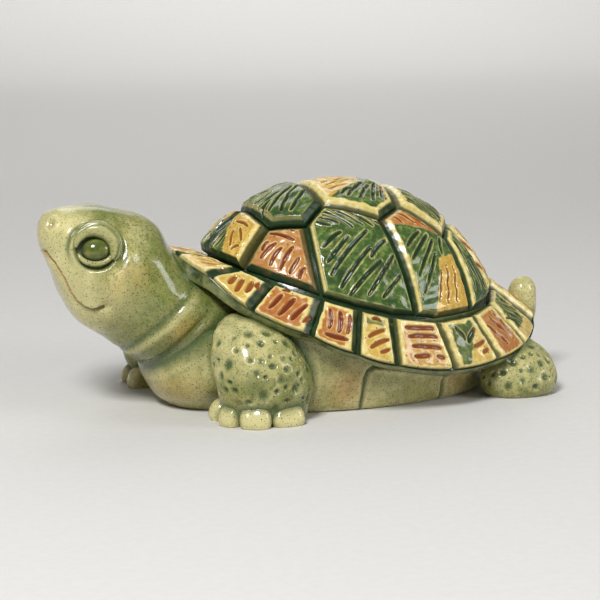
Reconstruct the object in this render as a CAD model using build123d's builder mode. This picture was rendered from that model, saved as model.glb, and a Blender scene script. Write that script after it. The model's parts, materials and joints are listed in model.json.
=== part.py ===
"""Glazed earthenware turtle: the clay members that are luted together, in millimetres.

X runs along the body with the head towards -X, the left side is -Y, Z is up and the floor is Z = 0.
"""
import os
from math import cos, radians, sin, sqrt

from build123d import *

# Slip joint left between two luted members, and the glaze filled grooves between tiles
slip = 0.2
groove = 1.5
scute_chamfer = 0.9
tile_chamfer = 0.7

# Shell dome: round in side view, narrower across, measured over the tops of the scutes
dome_radius = 60.0
dome_half_width = 46.0
dome_x = 14.0
dome_z = 15.0
scute_thickness = 3.0
shell_wall = 4.5
seat_height = 28.0

# Ring where scutes meet rim tiles, by its climb up the dome from the dome's middle height
ring_front_climb = 37.0
ring_rear_climb = 19.0
ring_side_climb = 19.0
ring_front = dome_radius * cos(radians(ring_front_climb))
ring_rear = dome_radius * cos(radians(ring_rear_climb))
ring_x = dome_x + (ring_rear - ring_front) / 2
ring_half_length = (ring_front + ring_rear) / 2
ring_half_width = dome_half_width * cos(radians(ring_side_climb))

# Outer edge of the rim: an ellipse in plan that rises to the front and dips at the sides
rim_reach_front = 13.5
rim_reach_rear = 13.5
rim_reach_side = 6.5
rim_x = ring_x + (rim_reach_rear - rim_reach_front) / 2
rim_half_length = ring_half_length + (rim_reach_rear + rim_reach_front) / 2
rim_half_width = ring_half_width + rim_reach_side
rim_mean_height = 27.8
rim_front_rise = 16.0
rim_side_dip = 9.5
tile_thickness = 3.0
flange_thickness = 3.0
flange_lip = 0.8
flange_bite = 5.0
tile_angles = [12, 32, 51, 71, 91, 104, 118, 137, 152, 170]

# Scute corners, as shares of the ring's half length and half width
neck_corner = (-0.715, 0.0)
shoulder_corner = (-0.685, 0.365)
front_waist_corner = (-0.465, 0.53)
front_crest_corner = (-0.315, 0.415)
flank_corner = (0.035, 0.59)
rear_crest_corner = (0.215, 0.435)
hip_corner = (0.52, 0.53)
tail_corner = (0.72, 0.0)

# Main carved strokes of the scutes, each from x, y to x, y on the scute's face: x runs to the rear and
# y up the dome, or to the right on a crown scute, which has the same strokes mirrored on its other half
stroke_width = 1.4
stroke_depth = 0.6
scute_strokes = {
    "crown_front": [(-7, -3, 1, -1.5), (-6.5, -7, 3.5, -3.5), (-5, -12.5, 8, -3.5), (1, -18.5, 10, -10.5)],
    "crown_middle": [(-11, -8.5, 2, -3.5), (-6, -18, 3, -7), (3, -21, 8, -6.5), (5.5, -5, 9.5, -1.5)],
    "crown_rear": [(-8.5, -3.5, 6, -18), (-10, -8, 2.5, -19.5), (1, -1.5, 9.5, -10)],
    "neck": [(-8, -3, -6.5, 7.5), (-5, -4.5, -3.8, 2.5), (3.5, -3, -0.5, 3), (2, 4.5, 6.5, 0)],
    "shoulder": [(-6, 7.5, 2.5, 6.5), (-6, -2, -2.5, 4), (-2, -4, -0.3, 2.5), (1.8, -4.5, 3.2, 4)],
    "flank": [
        (-9.5, 19.8, -0.5, 12.5),
        (-4.8, 21.3, 6.5, 13.4),
        (-11, 5.5, -4.5, 10.5),
        (-10.5, 0, -2.5, 8.5),
        (-10, -4.5, 4, 11),
        (-7.5, -9, 4.5, 5),
        (-4.5, -12, 7.5, 0),
        (2.5, -12, 12.5, 2.5),
        (8, -13, 15, -4.5),
    ],
    "hip": [
        (-2.5, 21, 1.5, 14),
        (3.2, 18, 8.2, 10.2),
        (-7.5, 8, 0.5, 11),
        (-8.5, 3, 3, 8.5),
        (-9, -3, 4.5, 6.5),
        (-9.5, -9.5, 2, 2),
        (0, -16, 5, -3),
    ],
    "rear": [(-0.5, 11, -3, 5), (1.2, 8.5, -2.2, -2.5), (3, 4, 0.6, -5)],
    "tail": [(-12.5, 15, -8.5, 4), (-10.5, 0, -7, -9), (-4, 14, -1, -4), (4, 13, 7, -6)],
}

# Lower body: a bowl with a flat base, its lip under the dome
base_x = 12.0
base_half_length = 58.0
base_half_width = 33.0
lip_half_length = 55.5
lip_half_width = 41.5
bowl_wall = 5.0
base_edge = 1.0

# Chest: an egg that swells out of the bowl's front below the neck
chest_ahead = 50.0
chest_height = 16.0
chest_half_length = 19.0
chest_half_width = 24.0

# Kiln vent in the base
vent_diameter = 6.0
vent_x = 14.0

# Head and neck: oval sections from the root inside the body to the nose
root_x, root_z, root_pitch = -34.0, 27.0, 10.0
root_half_height, root_half_width = 19.0, 24.0
neck_x, neck_z, neck_pitch = -51.5, 34.0, 14.0
neck_half_height, neck_half_width = 20.7, 23.0
nape_x, nape_z, nape_pitch = -60.2, 43.0, 21.0
nape_half_height, nape_half_width = 21.4, 20.5
cheek_x, cheek_z, cheek_pitch = -68.0, 47.9, 22.4
cheek_half_height, cheek_half_width = 21.0, 20.0
brow_x, brow_z, brow_pitch = -76.2, 52.3, 20.5
brow_half_height, brow_half_width = 17.9, 18.5
muzzle_x, muzzle_z, muzzle_pitch = -83.2, 57.0, 14.6
muzzle_half_height, muzzle_half_width = 12.9, 14.0
snout_x, snout_z, snout_pitch = -88.0, 60.5, 9.5
snout_half_height, snout_half_width = 7.6, 8.5
nose_x, nose_z, nose_pitch = -91.0, 61.5, 8.0
nose_half_height, nose_half_width = 3.4, 3.8
head_wall = 5.0

# Eyes: a ball seated in a round socket, with an upper and a lower lid round it
eye_x = -75.5
eye_z = 56.6
eye_out = 15.8
eye_turn_front = 14.0
eye_tilt_up = 8.0
socket_depth = 2.5
ball_radius = 5.2
lid_ring_radius = 6.0
upper_lid_radius = 2.1
lower_lid_radius = 1.5
lid_split_rise = 0.6
lid_lift_share = 0.6

# Front legs, with the right one a step ahead
front_leg_x = -25.0
front_stand_out = 2.5
front_leg_out = base_half_width + front_stand_out
front_step = 12.0
front_foot_half_length, front_foot_half_width = 15.5, 10.5
front_calf_half_length, front_calf_half_width = 17.2, 12.5
front_thigh_half_length, front_thigh_half_width = 16.8, 13.5
front_crown_half_length, front_crown_half_width = 12.0, 10.0
front_top_half_length, front_top_half_width = 4.5, 4.0
front_calf_height = 8.0
front_thigh_height = 20.0
front_crown_height = 31.0
front_top_height = 37.0
front_lean_in = 11.0
front_lean_ahead = 7.0
front_calf_ahead = 0.5
front_thigh_ahead, front_thigh_in = 3.0, 0.5
front_crown_ahead, front_crown_in = 5.6, 6.6

# Toe pads of a front foot, as (ahead of the leg, out from the leg, half width)
toe_places = [(-14.0, -7.5, 4.2), (-13.0, 2.0, 4.3), (-6.0, 9.0, 4.5), (5.5, 10.0, 5.2)]
toe_height = 6.5
toe_rounding = 3.0

# Rear legs
rear_leg_x = 70.0
rear_tuck_in = 4.5
rear_leg_out = base_half_width - rear_tuck_in
rear_foot_half_length, rear_foot_half_width = 13.5, 8.5
rear_calf_half_length, rear_calf_half_width = 15.0, 10.0
rear_thigh_half_length, rear_thigh_half_width = 12.5, 9.0
rear_top_half_length, rear_top_half_width = 6.5, 5.5
rear_calf_height = 6.0
rear_thigh_height = 12.0
rear_top_height = 18.0
rear_lean_ahead = 5.0
rear_lean_in = 5.0
rear_foot_back = 1.0

# Tail stub that comes out below the rear rim and turns up behind it
tail_root_x, tail_root_z, tail_root_radius = 66.0, 13.0, 6.5
tail_bend_x, tail_bend_z, tail_bend_radius = 84.0, 19.0, 6.0
tail_tip_x, tail_tip_z, tail_tip_radius = 86.7, 31.2, 4.7


def dome(radius_change):
    """Solid dome, turned about the cross axis, with its skin moved by radius_change."""
    with BuildPart() as body:
        with BuildSketch(Plane.XY) as half:
            Ellipse(dome_radius + radius_change, dome_half_width + radius_change)
            Rectangle(3 * dome_radius, 3 * dome_radius, align=(Align.MAX, Align.CENTER), mode=Mode.SUBTRACT)
        revolve(axis=Axis.Y)
    return body.part.moved(Location((dome_x, 0, dome_z)))


def on_dome(x, y):
    """Point of the dome's skin above plan point x, y."""
    rise = sqrt(1 - ((x - dome_x) / dome_radius) ** 2 - (y / dome_half_width) ** 2)
    return Vector(x, y, dome_z + dome_radius * rise)


def ring_point(angle):
    """Point of the scute ring at an angle from the tail, negative on the left side."""
    a = radians(angle)
    return on_dome(ring_x + ring_half_length * cos(a), ring_half_width * sin(a))


def rim_point(angle):
    """Point of the rim's outer edge at the same angle."""
    a = radians(angle)
    height = rim_mean_height - rim_front_rise * cos(a) + rim_side_dip * cos(2 * a)
    return Vector(rim_x + rim_half_length * cos(a), rim_half_width * sin(a), height)


def rim_plane(angle):
    """Plane across the rim: local x runs outward from the ring, local y out of the tile's face."""
    inner = ring_point(angle)
    outward = (rim_point(angle) - inner).normalized()
    face_up = (Vector(0, 0, 1) - outward * outward.Z).normalized()
    return Plane(origin=inner, x_dir=outward, z_dir=outward.cross(face_up))


def rim_band(angles, start, past_edge, top, bottom):
    """Ruled band of the rim through the planes at angles, between two depths below the tile face."""
    with BuildPart() as band:
        for angle in angles:
            reach = (rim_point(angle) - ring_point(angle)).length + past_edge
            with BuildSketch(rim_plane(angle)):
                with Locations(((start + reach) / 2, -(top + bottom) / 2)):
                    Rectangle(reach - start, bottom - top)
        loft(ruled=True)
    return band.part


def rim_ring(start, past_edge, top, bottom):
    """The four bands that close into the whole rim."""
    left = [-a for a in tile_angles]
    return [
        rim_band(tile_angles, start, past_edge, top, bottom),
        rim_band(left, start, past_edge, top, bottom),
        rim_band([-tile_angles[0], tile_angles[0]], start, past_edge, top, bottom),
        rim_band([tile_angles[-1], 360 - tile_angles[-1]], start, past_edge, top, bottom),
    ]


def bowl(inset, low, high):
    """Lofted bowl between two heights, its wall moved inward by inset."""
    with BuildPart() as body:
        with BuildSketch(Plane.XY.offset(low)):
            with Locations((base_x, 0)):
                Ellipse(base_half_length - inset, base_half_width - inset)
        with BuildSketch(Plane.XY.offset(high)):
            with Locations((dome_x, 0)):
                Ellipse(lip_half_length - inset, lip_half_width - inset)
        loft()
    return body.part


def chest_egg(grow):
    """Egg of the chest, made larger all round by grow and cut off at the floor."""
    with BuildPart() as egg:
        with Locations((base_x - chest_ahead, 0, chest_height)):
            Sphere(chest_half_length + grow)
        scale(by=(1, (chest_half_width + grow) / (chest_half_length + grow), 1))
        split(bisect_by=Plane.XY, keep=Keep.TOP)
    return egg.part


head_sections = [
    (root_x, root_z, root_pitch, root_half_height, root_half_width),
    (neck_x, neck_z, neck_pitch, neck_half_height, neck_half_width),
    (nape_x, nape_z, nape_pitch, nape_half_height, nape_half_width),
    (cheek_x, cheek_z, cheek_pitch, cheek_half_height, cheek_half_width),
    (brow_x, brow_z, brow_pitch, brow_half_height, brow_half_width),
    (muzzle_x, muzzle_z, muzzle_pitch, muzzle_half_height, muzzle_half_width),
    (snout_x, snout_z, snout_pitch, snout_half_height, snout_half_width),
    (nose_x, nose_z, nose_pitch, nose_half_height, nose_half_width),
]


def head_loft(sections, inset):
    """Smooth loft through oval sections, each made smaller all round by inset."""
    with BuildPart() as body:
        for x, z, pitch, half_height, half_width in sections:
            ahead = Vector(-cos(radians(pitch)), 0, sin(radians(pitch)))
            with BuildSketch(Plane(origin=(x, 0, z), x_dir=(0, 1, 0), z_dir=ahead)):
                Ellipse(half_width - inset, half_height - inset)
        loft()
    return body.part


def leg_loft(stations):
    """Smooth loft through level ovals given as (x, y, height, half length, half width)."""
    with BuildPart() as body:
        for x, y, height, half_length, half_width in stations:
            with BuildSketch(Plane.XY.offset(height)):
                with Locations((x, y)):
                    Ellipse(half_length, half_width)
        loft()
    return body.part


def finish(builder, name):
    """Label a piece and write it."""
    builder.part.label = name
    export_step(builder.part, f"parts/{name}.step")


os.makedirs("parts", exist_ok=True)

# Solids that the other pieces are fitted to
dome_face = dome(0)
dome_under_scutes = dome(-scute_thickness)
vault_face = dome(-scute_thickness - slip)
vault_hollow = dome(-scute_thickness - slip - shell_wall)
dome_room = dome(0.5 * slip)
flange_top = tile_thickness + slip
flange_bottom = flange_top + flange_thickness
flange_bands = rim_ring(-flange_bite, flange_lip, flange_top, flange_bottom)
rim_rooms = rim_ring(-flange_bite - slip, flange_lip + slip, -slip, flange_bottom + slip)
bowl_face = bowl(0, 0, seat_height)
bowl_room = bowl(-slip, 0, seat_height + slip)
bowl_hollow = bowl(bowl_wall, bowl_wall, seat_height + slip)
chest_room = chest_egg(slip)
neck_bore = head_loft(head_sections[:6], head_wall)
head_room = head_loft(head_sections, -slip)

# Carapace: the hollow vault with its flaring rim
with BuildPart() as carapace:
    add(vault_face)
    add(flange_bands)
    add(vault_hollow, mode=Mode.SUBTRACT)
    split(bisect_by=Plane.XY.offset(seat_height + slip), keep=Keep.TOP)
with BuildPart() as carapace_rim:
    add(flange_bands)
    add(vault_hollow, mode=Mode.SUBTRACT)
with BuildPart() as carapace_whole:
    add(carapace.part)
    add(carapace_rim.part)
    add(neck_bore, mode=Mode.SUBTRACT)
finish(carapace_whole, "carapace")

# Lower body, with the chest fitted under the neck
with BuildPart() as chest:
    add(chest_egg(0))
    add(head_room, mode=Mode.SUBTRACT)
    add(dome_room, mode=Mode.SUBTRACT)
with BuildPart() as lower_body:
    add(bowl_face)
    chamfer(lower_body.faces().sort_by(Axis.Z)[0].edges(), base_edge)
    add(chest.part)
    add(bowl_hollow, mode=Mode.SUBTRACT)
    add(rim_rooms, mode=Mode.SUBTRACT)
    add(neck_bore, mode=Mode.SUBTRACT)
    with Locations((vent_x, 0, 0)):
        Cylinder(vent_diameter / 2, 4 * bowl_wall, mode=Mode.SUBTRACT)
finish(lower_body, "lower_body")


# Scutes: pieces of the dome's skin cut out by planes through its centre
dome_centre = Vector(dome_x, 0, dome_z)


def skin_point(way):
    """Point of the dome's skin in a given way from its centre."""
    share = Vector(way.X / dome_radius, way.Y / dome_half_width, way.Z / dome_radius)
    return dome_centre + way * (1 / share.length)


def stroke_place(first, second):
    """Plane of a stroke's floor between two skin points, and the stroke's length."""
    chord_middle = (first + second) * 0.5
    middle = skin_point(chord_middle - dome_centre)
    bulge = (middle - chord_middle).length
    away = middle - dome_centre
    normal = Vector(away.X / dome_radius**2, away.Y / dome_half_width**2, away.Z / dome_radius**2).normalized()
    floor = middle - normal * (stroke_depth + bulge / 2)
    return Plane(origin=floor, x_dir=second - first, z_dir=normal), (second - first).length


def scute(name, corners, strokes, on_crown=False):
    """One carved scute between corners listed in order round it."""
    middle = Vector(0, 0, 0)
    for corner in corners:
        middle = middle + (corner - dome_centre) * (1 / len(corners))
    middle = middle.normalized()
    if on_crown:
        rearward = (Vector(1, 0, 0) - middle * middle.X).normalized()
        upward = middle.cross(rearward)
    else:
        upward = (Vector(0, 0, 1) - middle * middle.Z).normalized()
        rearward = upward.cross(middle)
        if rearward.X < 0:
            rearward = rearward * -1
    face_centre = skin_point(middle) - dome_centre
    with BuildPart() as piece:
        add(dome_face)
        for first, second in zip(corners, corners[1:] + corners[:1]):
            inward = (first - dome_centre).cross(second - dome_centre).normalized()
            if inward.dot(middle) < 0:
                inward = inward * -1
            split(bisect_by=Plane(origin=dome_centre + inward * (groove / 2), z_dir=inward), keep=Keep.TOP)
        add(dome_under_scutes, mode=Mode.SUBTRACT)
        skin = piece.faces().sort_by(SortBy.AREA)[-1]
        chamfer(skin.edges(), scute_chamfer)
        for x0, y0, x1, y1 in strokes:
            first = skin_point(face_centre + rearward * x0 + upward * y0)
            second = skin_point(face_centre + rearward * x1 + upward * y1)
            floor, length = stroke_place(first, second)
            with Locations(floor):
                Box(
                    length,
                    stroke_width,
                    scute_thickness,
                    align=(Align.CENTER, Align.CENTER, Align.MIN),
                    mode=Mode.SUBTRACT,
                )
    finish(piece, name)


def crown_strokes(name):
    """Strokes of both halves of a crown scute."""
    half = scute_strokes[name]
    return half + [(x0, -y0, x1, -y1) for x0, y0, x1, y1 in half]


def left(corner):
    """Corner on the left half of the dome."""
    return on_dome(ring_x + corner[0] * ring_half_length, -corner[1] * ring_half_width)


def right(corner):
    """Corner on the right half of the dome."""
    return on_dome(ring_x + corner[0] * ring_half_length, corner[1] * ring_half_width)


def between(first_angle, second_angle):
    """Middle of the straight ring edge between two tile angles."""
    return (ring_point(first_angle) + ring_point(second_angle)) * 0.5


a_tail, a_tail_side, a_hip, a_rear, a_mid, a_flank, a_waist, a_chest, a_shoulder, a_neck = tile_angles

scute(
    "crown_scute_front",
    [left(c) for c in (neck_corner, shoulder_corner, front_waist_corner, front_crest_corner)]
    + [right(c) for c in (front_crest_corner, front_waist_corner, shoulder_corner)],
    crown_strokes("crown_front"),
    on_crown=True,
)
scute(
    "crown_scute_middle",
    [left(c) for c in (front_crest_corner, flank_corner, rear_crest_corner)]
    + [right(c) for c in (rear_crest_corner, flank_corner, front_crest_corner)],
    crown_strokes("crown_middle"),
    on_crown=True,
)
scute(
    "crown_scute_rear",
    [left(c) for c in (rear_crest_corner, hip_corner, tail_corner)]
    + [right(c) for c in (hip_corner, rear_crest_corner)],
    crown_strokes("crown_rear"),
    on_crown=True,
)
for side, hand, place in ((-1, "left", left), (1, "right", right)):
    scute(
        f"side_scute_neck_{hand}",
        [place(neck_corner), place(shoulder_corner), ring_point(side * a_shoulder)]
        + [ring_point(side * a_neck), between(a_neck, -a_neck)],
        scute_strokes["neck"],
    )
    scute(
        f"side_scute_shoulder_{hand}",
        [place(shoulder_corner), place(front_waist_corner), ring_point(side * a_waist)]
        + [ring_point(side * a_chest), ring_point(side * a_shoulder)],
        scute_strokes["shoulder"],
    )
    scute(
        f"side_scute_flank_{hand}",
        [place(front_waist_corner), place(front_crest_corner), place(flank_corner)]
        + [between(side * a_mid, side * a_rear), ring_point(side * a_mid)]
        + [ring_point(side * a_flank), ring_point(side * a_waist)],
        scute_strokes["flank"],
    )
    scute(
        f"side_scute_hip_{hand}",
        [place(flank_corner), place(rear_crest_corner), place(hip_corner), ring_point(side * a_hip)]
        + [ring_point(side * a_rear), between(side * a_mid, side * a_rear)],
        scute_strokes["hip"],
    )
    scute(
        f"side_scute_rear_{hand}",
        [place(hip_corner), ring_point(side * a_tail_side), ring_point(side * a_hip)],
        scute_strokes["rear"],
    )
    scute(
        f"side_scute_tail_{hand}",
        [place(hip_corner), place(tail_corner), between(a_tail, -a_tail)]
        + [ring_point(side * a_tail), ring_point(side * a_tail_side)],
        scute_strokes["tail"],
    )


# Rim tiles
def rim_tile(name, first, second):
    """Tile on the flange between two angles, the second one the larger."""
    start = groove / 2
    with BuildPart() as piece:
        add(rim_band([first, second], start, 0, 0, tile_thickness))
        split(bisect_by=rim_plane(first).offset(-groove / 2), keep=Keep.BOTTOM)
        split(bisect_by=rim_plane(second).offset(groove / 2), keep=Keep.TOP)
        add(dome_under_scutes, mode=Mode.SUBTRACT)
        middle = rim_plane((first + second) / 2)
        top_face = piece.faces().sort_by(Axis(middle.origin, middle.y_dir))[-1]
        chamfer(top_face.edges(), tile_chamfer)
    finish(piece, name)


rim_tile("rim_tile_tail", -tile_angles[0], tile_angles[0])
rim_tile("rim_tile_neck", tile_angles[-1], 360 - tile_angles[-1])
for place, (first, second) in enumerate(zip(tile_angles[:-1], tile_angles[1:])):
    count = len(tile_angles) - 1 - place
    rim_tile(f"rim_tile_right_{count}", first, second)
    rim_tile(f"rim_tile_left_{count}", -second, -first)


# Head and neck with round sockets for the eyes
def eye_plane(side):
    """Plane of an eye: local z looks out of the head, local y points up."""
    turn = radians(eye_turn_front)
    tilt = radians(eye_tilt_up)
    out = Vector(-sin(turn) * cos(tilt), side * cos(turn) * cos(tilt), sin(tilt))
    across = Vector(0, 0, 1).cross(out).normalized()
    return Plane(origin=(eye_x, side * eye_out, eye_z), x_dir=across, z_dir=out)


socket_radius = lid_ring_radius + upper_lid_radius + slip
with BuildPart() as head_and_neck:
    add(head_loft(head_sections, 0))
    add(neck_bore, mode=Mode.SUBTRACT)
    add(dome_room, mode=Mode.SUBTRACT)
    add(bowl_room, mode=Mode.SUBTRACT)
    add(rim_rooms, mode=Mode.SUBTRACT)
    with BuildSketch(eye_plane(-1), eye_plane(1)):
        Circle(socket_radius)
    extrude(amount=4 * socket_depth, mode=Mode.SUBTRACT)
finish(head_and_neck, "head_and_neck")

for side, hand in ((-1, "left"), (1, "right")):
    seat = eye_plane(side).offset(slip)
    with BuildPart() as eyeball:
        with Locations(seat.offset(-ball_radius + lid_ring_radius - socket_depth / 2)):
            Sphere(ball_radius)
        split(bisect_by=seat, keep=Keep.TOP)
    finish(eyeball, f"eyeball_{hand}")
    with BuildPart() as eye_room:
        with Locations(seat.offset(-ball_radius + lid_ring_radius - socket_depth / 2)):
            Sphere(ball_radius + slip)
    lids = [
        ("upper", upper_lid_radius, Keep.TOP, lid_split_rise + slip / 2),
        ("lower", lower_lid_radius, Keep.BOTTOM, lid_split_rise - slip / 2),
    ]
    for lid, lid_radius, kept, rise in lids:
        cut = Plane(origin=seat.from_local_coords((0, rise, 0)), x_dir=seat.x_dir, z_dir=seat.y_dir)
        with BuildPart() as eyelid:
            with Locations(seat.offset(lid_radius * lid_lift_share)):
                Torus(lid_ring_radius, lid_radius)
            split(bisect_by=seat, keep=Keep.TOP)
            split(bisect_by=cut, keep=kept)
            add(eye_room.part, mode=Mode.SUBTRACT)
        finish(eyelid, f"{lid}_eyelid_{hand}")


# Legs and toes
def front_leg_stations(side, x, y, grow):
    """Level ovals of a front leg that stands at x, y."""
    stations = [
        (0, 0, 0, front_foot_half_length, front_foot_half_width),
        (front_calf_ahead, 0, front_calf_height, front_calf_half_length, front_calf_half_width),
        (front_thigh_ahead, front_thigh_in, front_thigh_height, front_thigh_half_length, front_thigh_half_width),
        (front_crown_ahead, front_crown_in, front_crown_height, front_crown_half_length, front_crown_half_width),
        (front_lean_ahead, front_lean_in, front_top_height, front_top_half_length, front_top_half_width),
    ]
    return [
        (x - ahead, y - side * inward, height, half_length + grow, half_width + grow)
        for ahead, inward, height, half_length, half_width in stations
    ]


for side, hand, step in ((-1, "left", 0), (1, "right", front_step)):
    front_x = front_leg_x - step
    front_y = side * front_leg_out
    leg = leg_loft(front_leg_stations(side, front_x, front_y, 0))
    leg_room = leg_loft(front_leg_stations(side, front_x, front_y, slip))
    with BuildPart() as front_leg:
        add(leg)
        add(bowl_room, mode=Mode.SUBTRACT)
        add(chest_room, mode=Mode.SUBTRACT)
        add(dome_room, mode=Mode.SUBTRACT)
        add(rim_rooms, mode=Mode.SUBTRACT)
        add(head_room, mode=Mode.SUBTRACT)
    finish(front_leg, f"front_leg_{hand}")
    with BuildPart() as toes:
        for ahead, out, half_width in toe_places:
            with Locations((front_x + ahead, front_y + side * out, 0)):
                Cylinder(half_width, toe_height, align=(Align.CENTER, Align.CENTER, Align.MIN))
        top_rims = toes.faces().filter_by(Axis.Z).group_by(Axis.Z)[-1].edges()
        fillet(top_rims, toe_rounding)
        add(leg_room, mode=Mode.SUBTRACT)
        add(bowl_room, mode=Mode.SUBTRACT)
        add(chest_room, mode=Mode.SUBTRACT)
    finish(toes, f"front_toes_{hand}")
    rear_y = side * rear_leg_out
    rear_foot_x = rear_leg_x + rear_foot_back
    rear_top_x = rear_leg_x - rear_lean_ahead
    rear_top_y = rear_y - side * rear_lean_in
    with BuildPart() as rear_leg:
        add(
            leg_loft(
                [
                    (rear_foot_x, rear_y, 0, rear_foot_half_length, rear_foot_half_width),
                    (rear_foot_x, rear_y, rear_calf_height, rear_calf_half_length, rear_calf_half_width),
                    (rear_leg_x, rear_y, rear_thigh_height, rear_thigh_half_length, rear_thigh_half_width),
                    (rear_top_x, rear_top_y, rear_top_height, rear_top_half_length, rear_top_half_width),
                ]
            )
        )
        add(bowl_room, mode=Mode.SUBTRACT)
        add(rim_rooms, mode=Mode.SUBTRACT)
    finish(rear_leg, f"rear_leg_{hand}")

# Tail stub
with BuildPart() as tail:
    with BuildSketch(Plane(origin=(tail_root_x, 0, tail_root_z), x_dir=(0, 1, 0), z_dir=(1, 0, 0.1))):
        Circle(tail_root_radius)
    with BuildSketch(Plane(origin=(tail_bend_x, 0, tail_bend_z), x_dir=(0, 1, 0), z_dir=(1, 0, 1))):
        Circle(tail_bend_radius)
    with BuildSketch(Plane(origin=(tail_tip_x, 0, tail_tip_z), x_dir=(0, 1, 0), z_dir=(0, 0, 1))):
        Circle(tail_tip_radius)
    loft()
    with Locations((tail_tip_x, 0, tail_tip_z)):
        Sphere(tail_tip_radius)
    add(bowl_room, mode=Mode.SUBTRACT)
    add(rim_rooms, mode=Mode.SUBTRACT)
finish(tail, "tail")
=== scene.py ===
"""Glazed earthenware turtle: carved and glazed pieces around the packed clay members."""
import json
from math import cos, pi, radians, sin, sqrt

import bpy
import numpy as np
from bpy.props import FloatProperty, FloatVectorProperty, IntProperty, PointerProperty
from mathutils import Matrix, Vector
from mathutils.bvhtree import BVHTree

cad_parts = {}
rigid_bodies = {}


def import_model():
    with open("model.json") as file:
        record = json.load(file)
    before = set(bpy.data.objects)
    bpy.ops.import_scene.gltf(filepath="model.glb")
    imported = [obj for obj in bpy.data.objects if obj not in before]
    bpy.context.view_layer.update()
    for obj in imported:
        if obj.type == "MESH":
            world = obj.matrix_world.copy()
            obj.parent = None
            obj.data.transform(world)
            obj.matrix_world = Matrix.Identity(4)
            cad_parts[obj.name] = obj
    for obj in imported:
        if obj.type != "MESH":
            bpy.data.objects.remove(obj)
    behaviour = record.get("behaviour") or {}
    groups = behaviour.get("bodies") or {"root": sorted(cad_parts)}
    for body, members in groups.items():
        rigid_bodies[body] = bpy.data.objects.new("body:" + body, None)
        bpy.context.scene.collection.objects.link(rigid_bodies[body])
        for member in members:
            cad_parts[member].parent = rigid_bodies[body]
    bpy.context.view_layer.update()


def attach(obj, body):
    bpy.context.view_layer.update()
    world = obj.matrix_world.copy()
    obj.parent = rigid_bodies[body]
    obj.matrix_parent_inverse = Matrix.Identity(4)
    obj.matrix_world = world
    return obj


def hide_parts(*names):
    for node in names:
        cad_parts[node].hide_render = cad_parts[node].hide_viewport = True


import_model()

bl_info = {
    "name": "Glazed turtle",
    "version": (1, 0, 0),
    "blender": (4, 5, 0),
    "location": "3D View > Sidebar > Turtle",
    "description": "Models a carved and glazed earthenware turtle on its packed clay members",
    "category": "Add Mesh",
}

MM = 0.001
X_AXIS = np.array([1.0, 0.0, 0.0])
Z_AXIS = np.array([0.0, 0.0, 1.0])


def length_prop(name, description, value_mm):
    """A size that the sidebar shows in scene units, kept in metres."""
    return FloatProperty(name=name, description=description, default=value_mm * MM, unit="LENGTH", precision=5)


def colour_prop(name, description, value):
    """A glaze colour that the sidebar shows."""
    return FloatVectorProperty(name=name, description=description, default=value, subtype="COLOR", min=0, max=1)


class TurtleSizes(bpy.types.PropertyGroup):
    """Sizes of the shell and of its carving."""

    dome_radius: length_prop("Dome radius", "Dome over the scutes, seen from the side", 60.0)
    dome_half_width: length_prop("Dome half width", "Half the dome's width across", 46.0)
    dome_x: length_prop("Dome place", "Middle of the dome along the body", 14.0)
    dome_z: length_prop("Dome height", "Middle of the dome above the floor", 15.0)
    groove: length_prop("Groove", "Gap between neighbouring scutes at their foot", 1.1)
    tile_groove: length_prop("Tile groove", "Gap between neighbouring rim tiles", 1.7)
    scute_bevel: length_prop("Scute bevel", "Width of the sloping edge of a scute", 2.1)
    tile_bevel: length_prop("Tile bevel", "Width of the sloping edge of a rim tile", 1.0)
    tile_overhang: length_prop("Tile overhang", "How far a rim tile rolls over the rim's edge", 0.2)
    bevel_drop: length_prop("Bevel drop", "How far a sloping edge falls", 1.9)
    stroke_depth: length_prop("Stroke depth", "Depth of a carved stroke", 0.62)
    pit_depth: length_prop("Pit depth", "Depth of the pits in the legs", 1.15)
    seed: IntProperty(name="Hand", description="Seed of the hand-made unevenness", default=7, min=0)


class TurtleGlazes(bpy.types.PropertyGroup):
    """Colours of the glazes."""

    celadon: colour_prop("Celadon", "Pale grey green of the body", (0.42, 0.395, 0.145))
    celadon_green: colour_prop("Celadon green", "Where the body glaze lies thick", (0.130, 0.165, 0.034))
    # The pale colour also paints highlights on the legs, beside the body's panel grooves and on the neck's fold
    # ridges.
    pale: colour_prop("Pale", "Where the body glaze lies thin", (0.68, 0.62, 0.30))
    flush: colour_prop("Ochre flush", "Warm flush on the body", (0.46, 0.27, 0.05))
    blush: colour_prop("Clay blush", "Terracotta blush on the body", (0.45, 0.19, 0.075))
    cream: colour_prop("Cream", "Bare edges of the tiles", (0.70, 0.55, 0.175))
    green: colour_prop("Green", "Green glaze of the shell", (0.050, 0.108, 0.022))
    deep_green: colour_prop("Deep green", "Green glaze pooled in grooves", (0.010, 0.032, 0.010))
    terracotta: colour_prop("Terracotta", "Terracotta glaze of the shell", (0.41, 0.145, 0.032))
    rust: colour_prop("Rust", "Strokes in terracotta", (0.17, 0.030, 0.008))
    ochre: colour_prop("Ochre", "Ochre glaze of the shell", (0.53, 0.31, 0.036))
    amber: colour_prop("Amber", "Strokes in ochre", (0.26, 0.085, 0.010))
    speck: colour_prop("Speck", "Iron specks in the glaze", (0.035, 0.022, 0.008))
    floor: colour_prop("Floor", "Studio floor", (0.69, 0.68, 0.66))


def sizes():
    """The sidebar's sizes."""
    return bpy.context.scene.turtle_sizes


def mm(metres):
    """Metres as millimetres."""
    return metres / MM


# Shaders written as expressions

MIX_FACTOR, MIX_FIRST, MIX_SECOND, MIX_RESULT = 0, 6, 7, 2
SPECK_CORE = 0.55
GRAIN_STRENGTH = 0.25
GRAIN_DEPTH = 0.3
FIRED_GLAZE = {"IOR": 1.52, "Specular IOR Level": 0.24, "Coat Roughness": 0.045, "Coat IOR": 1.5}


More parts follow.
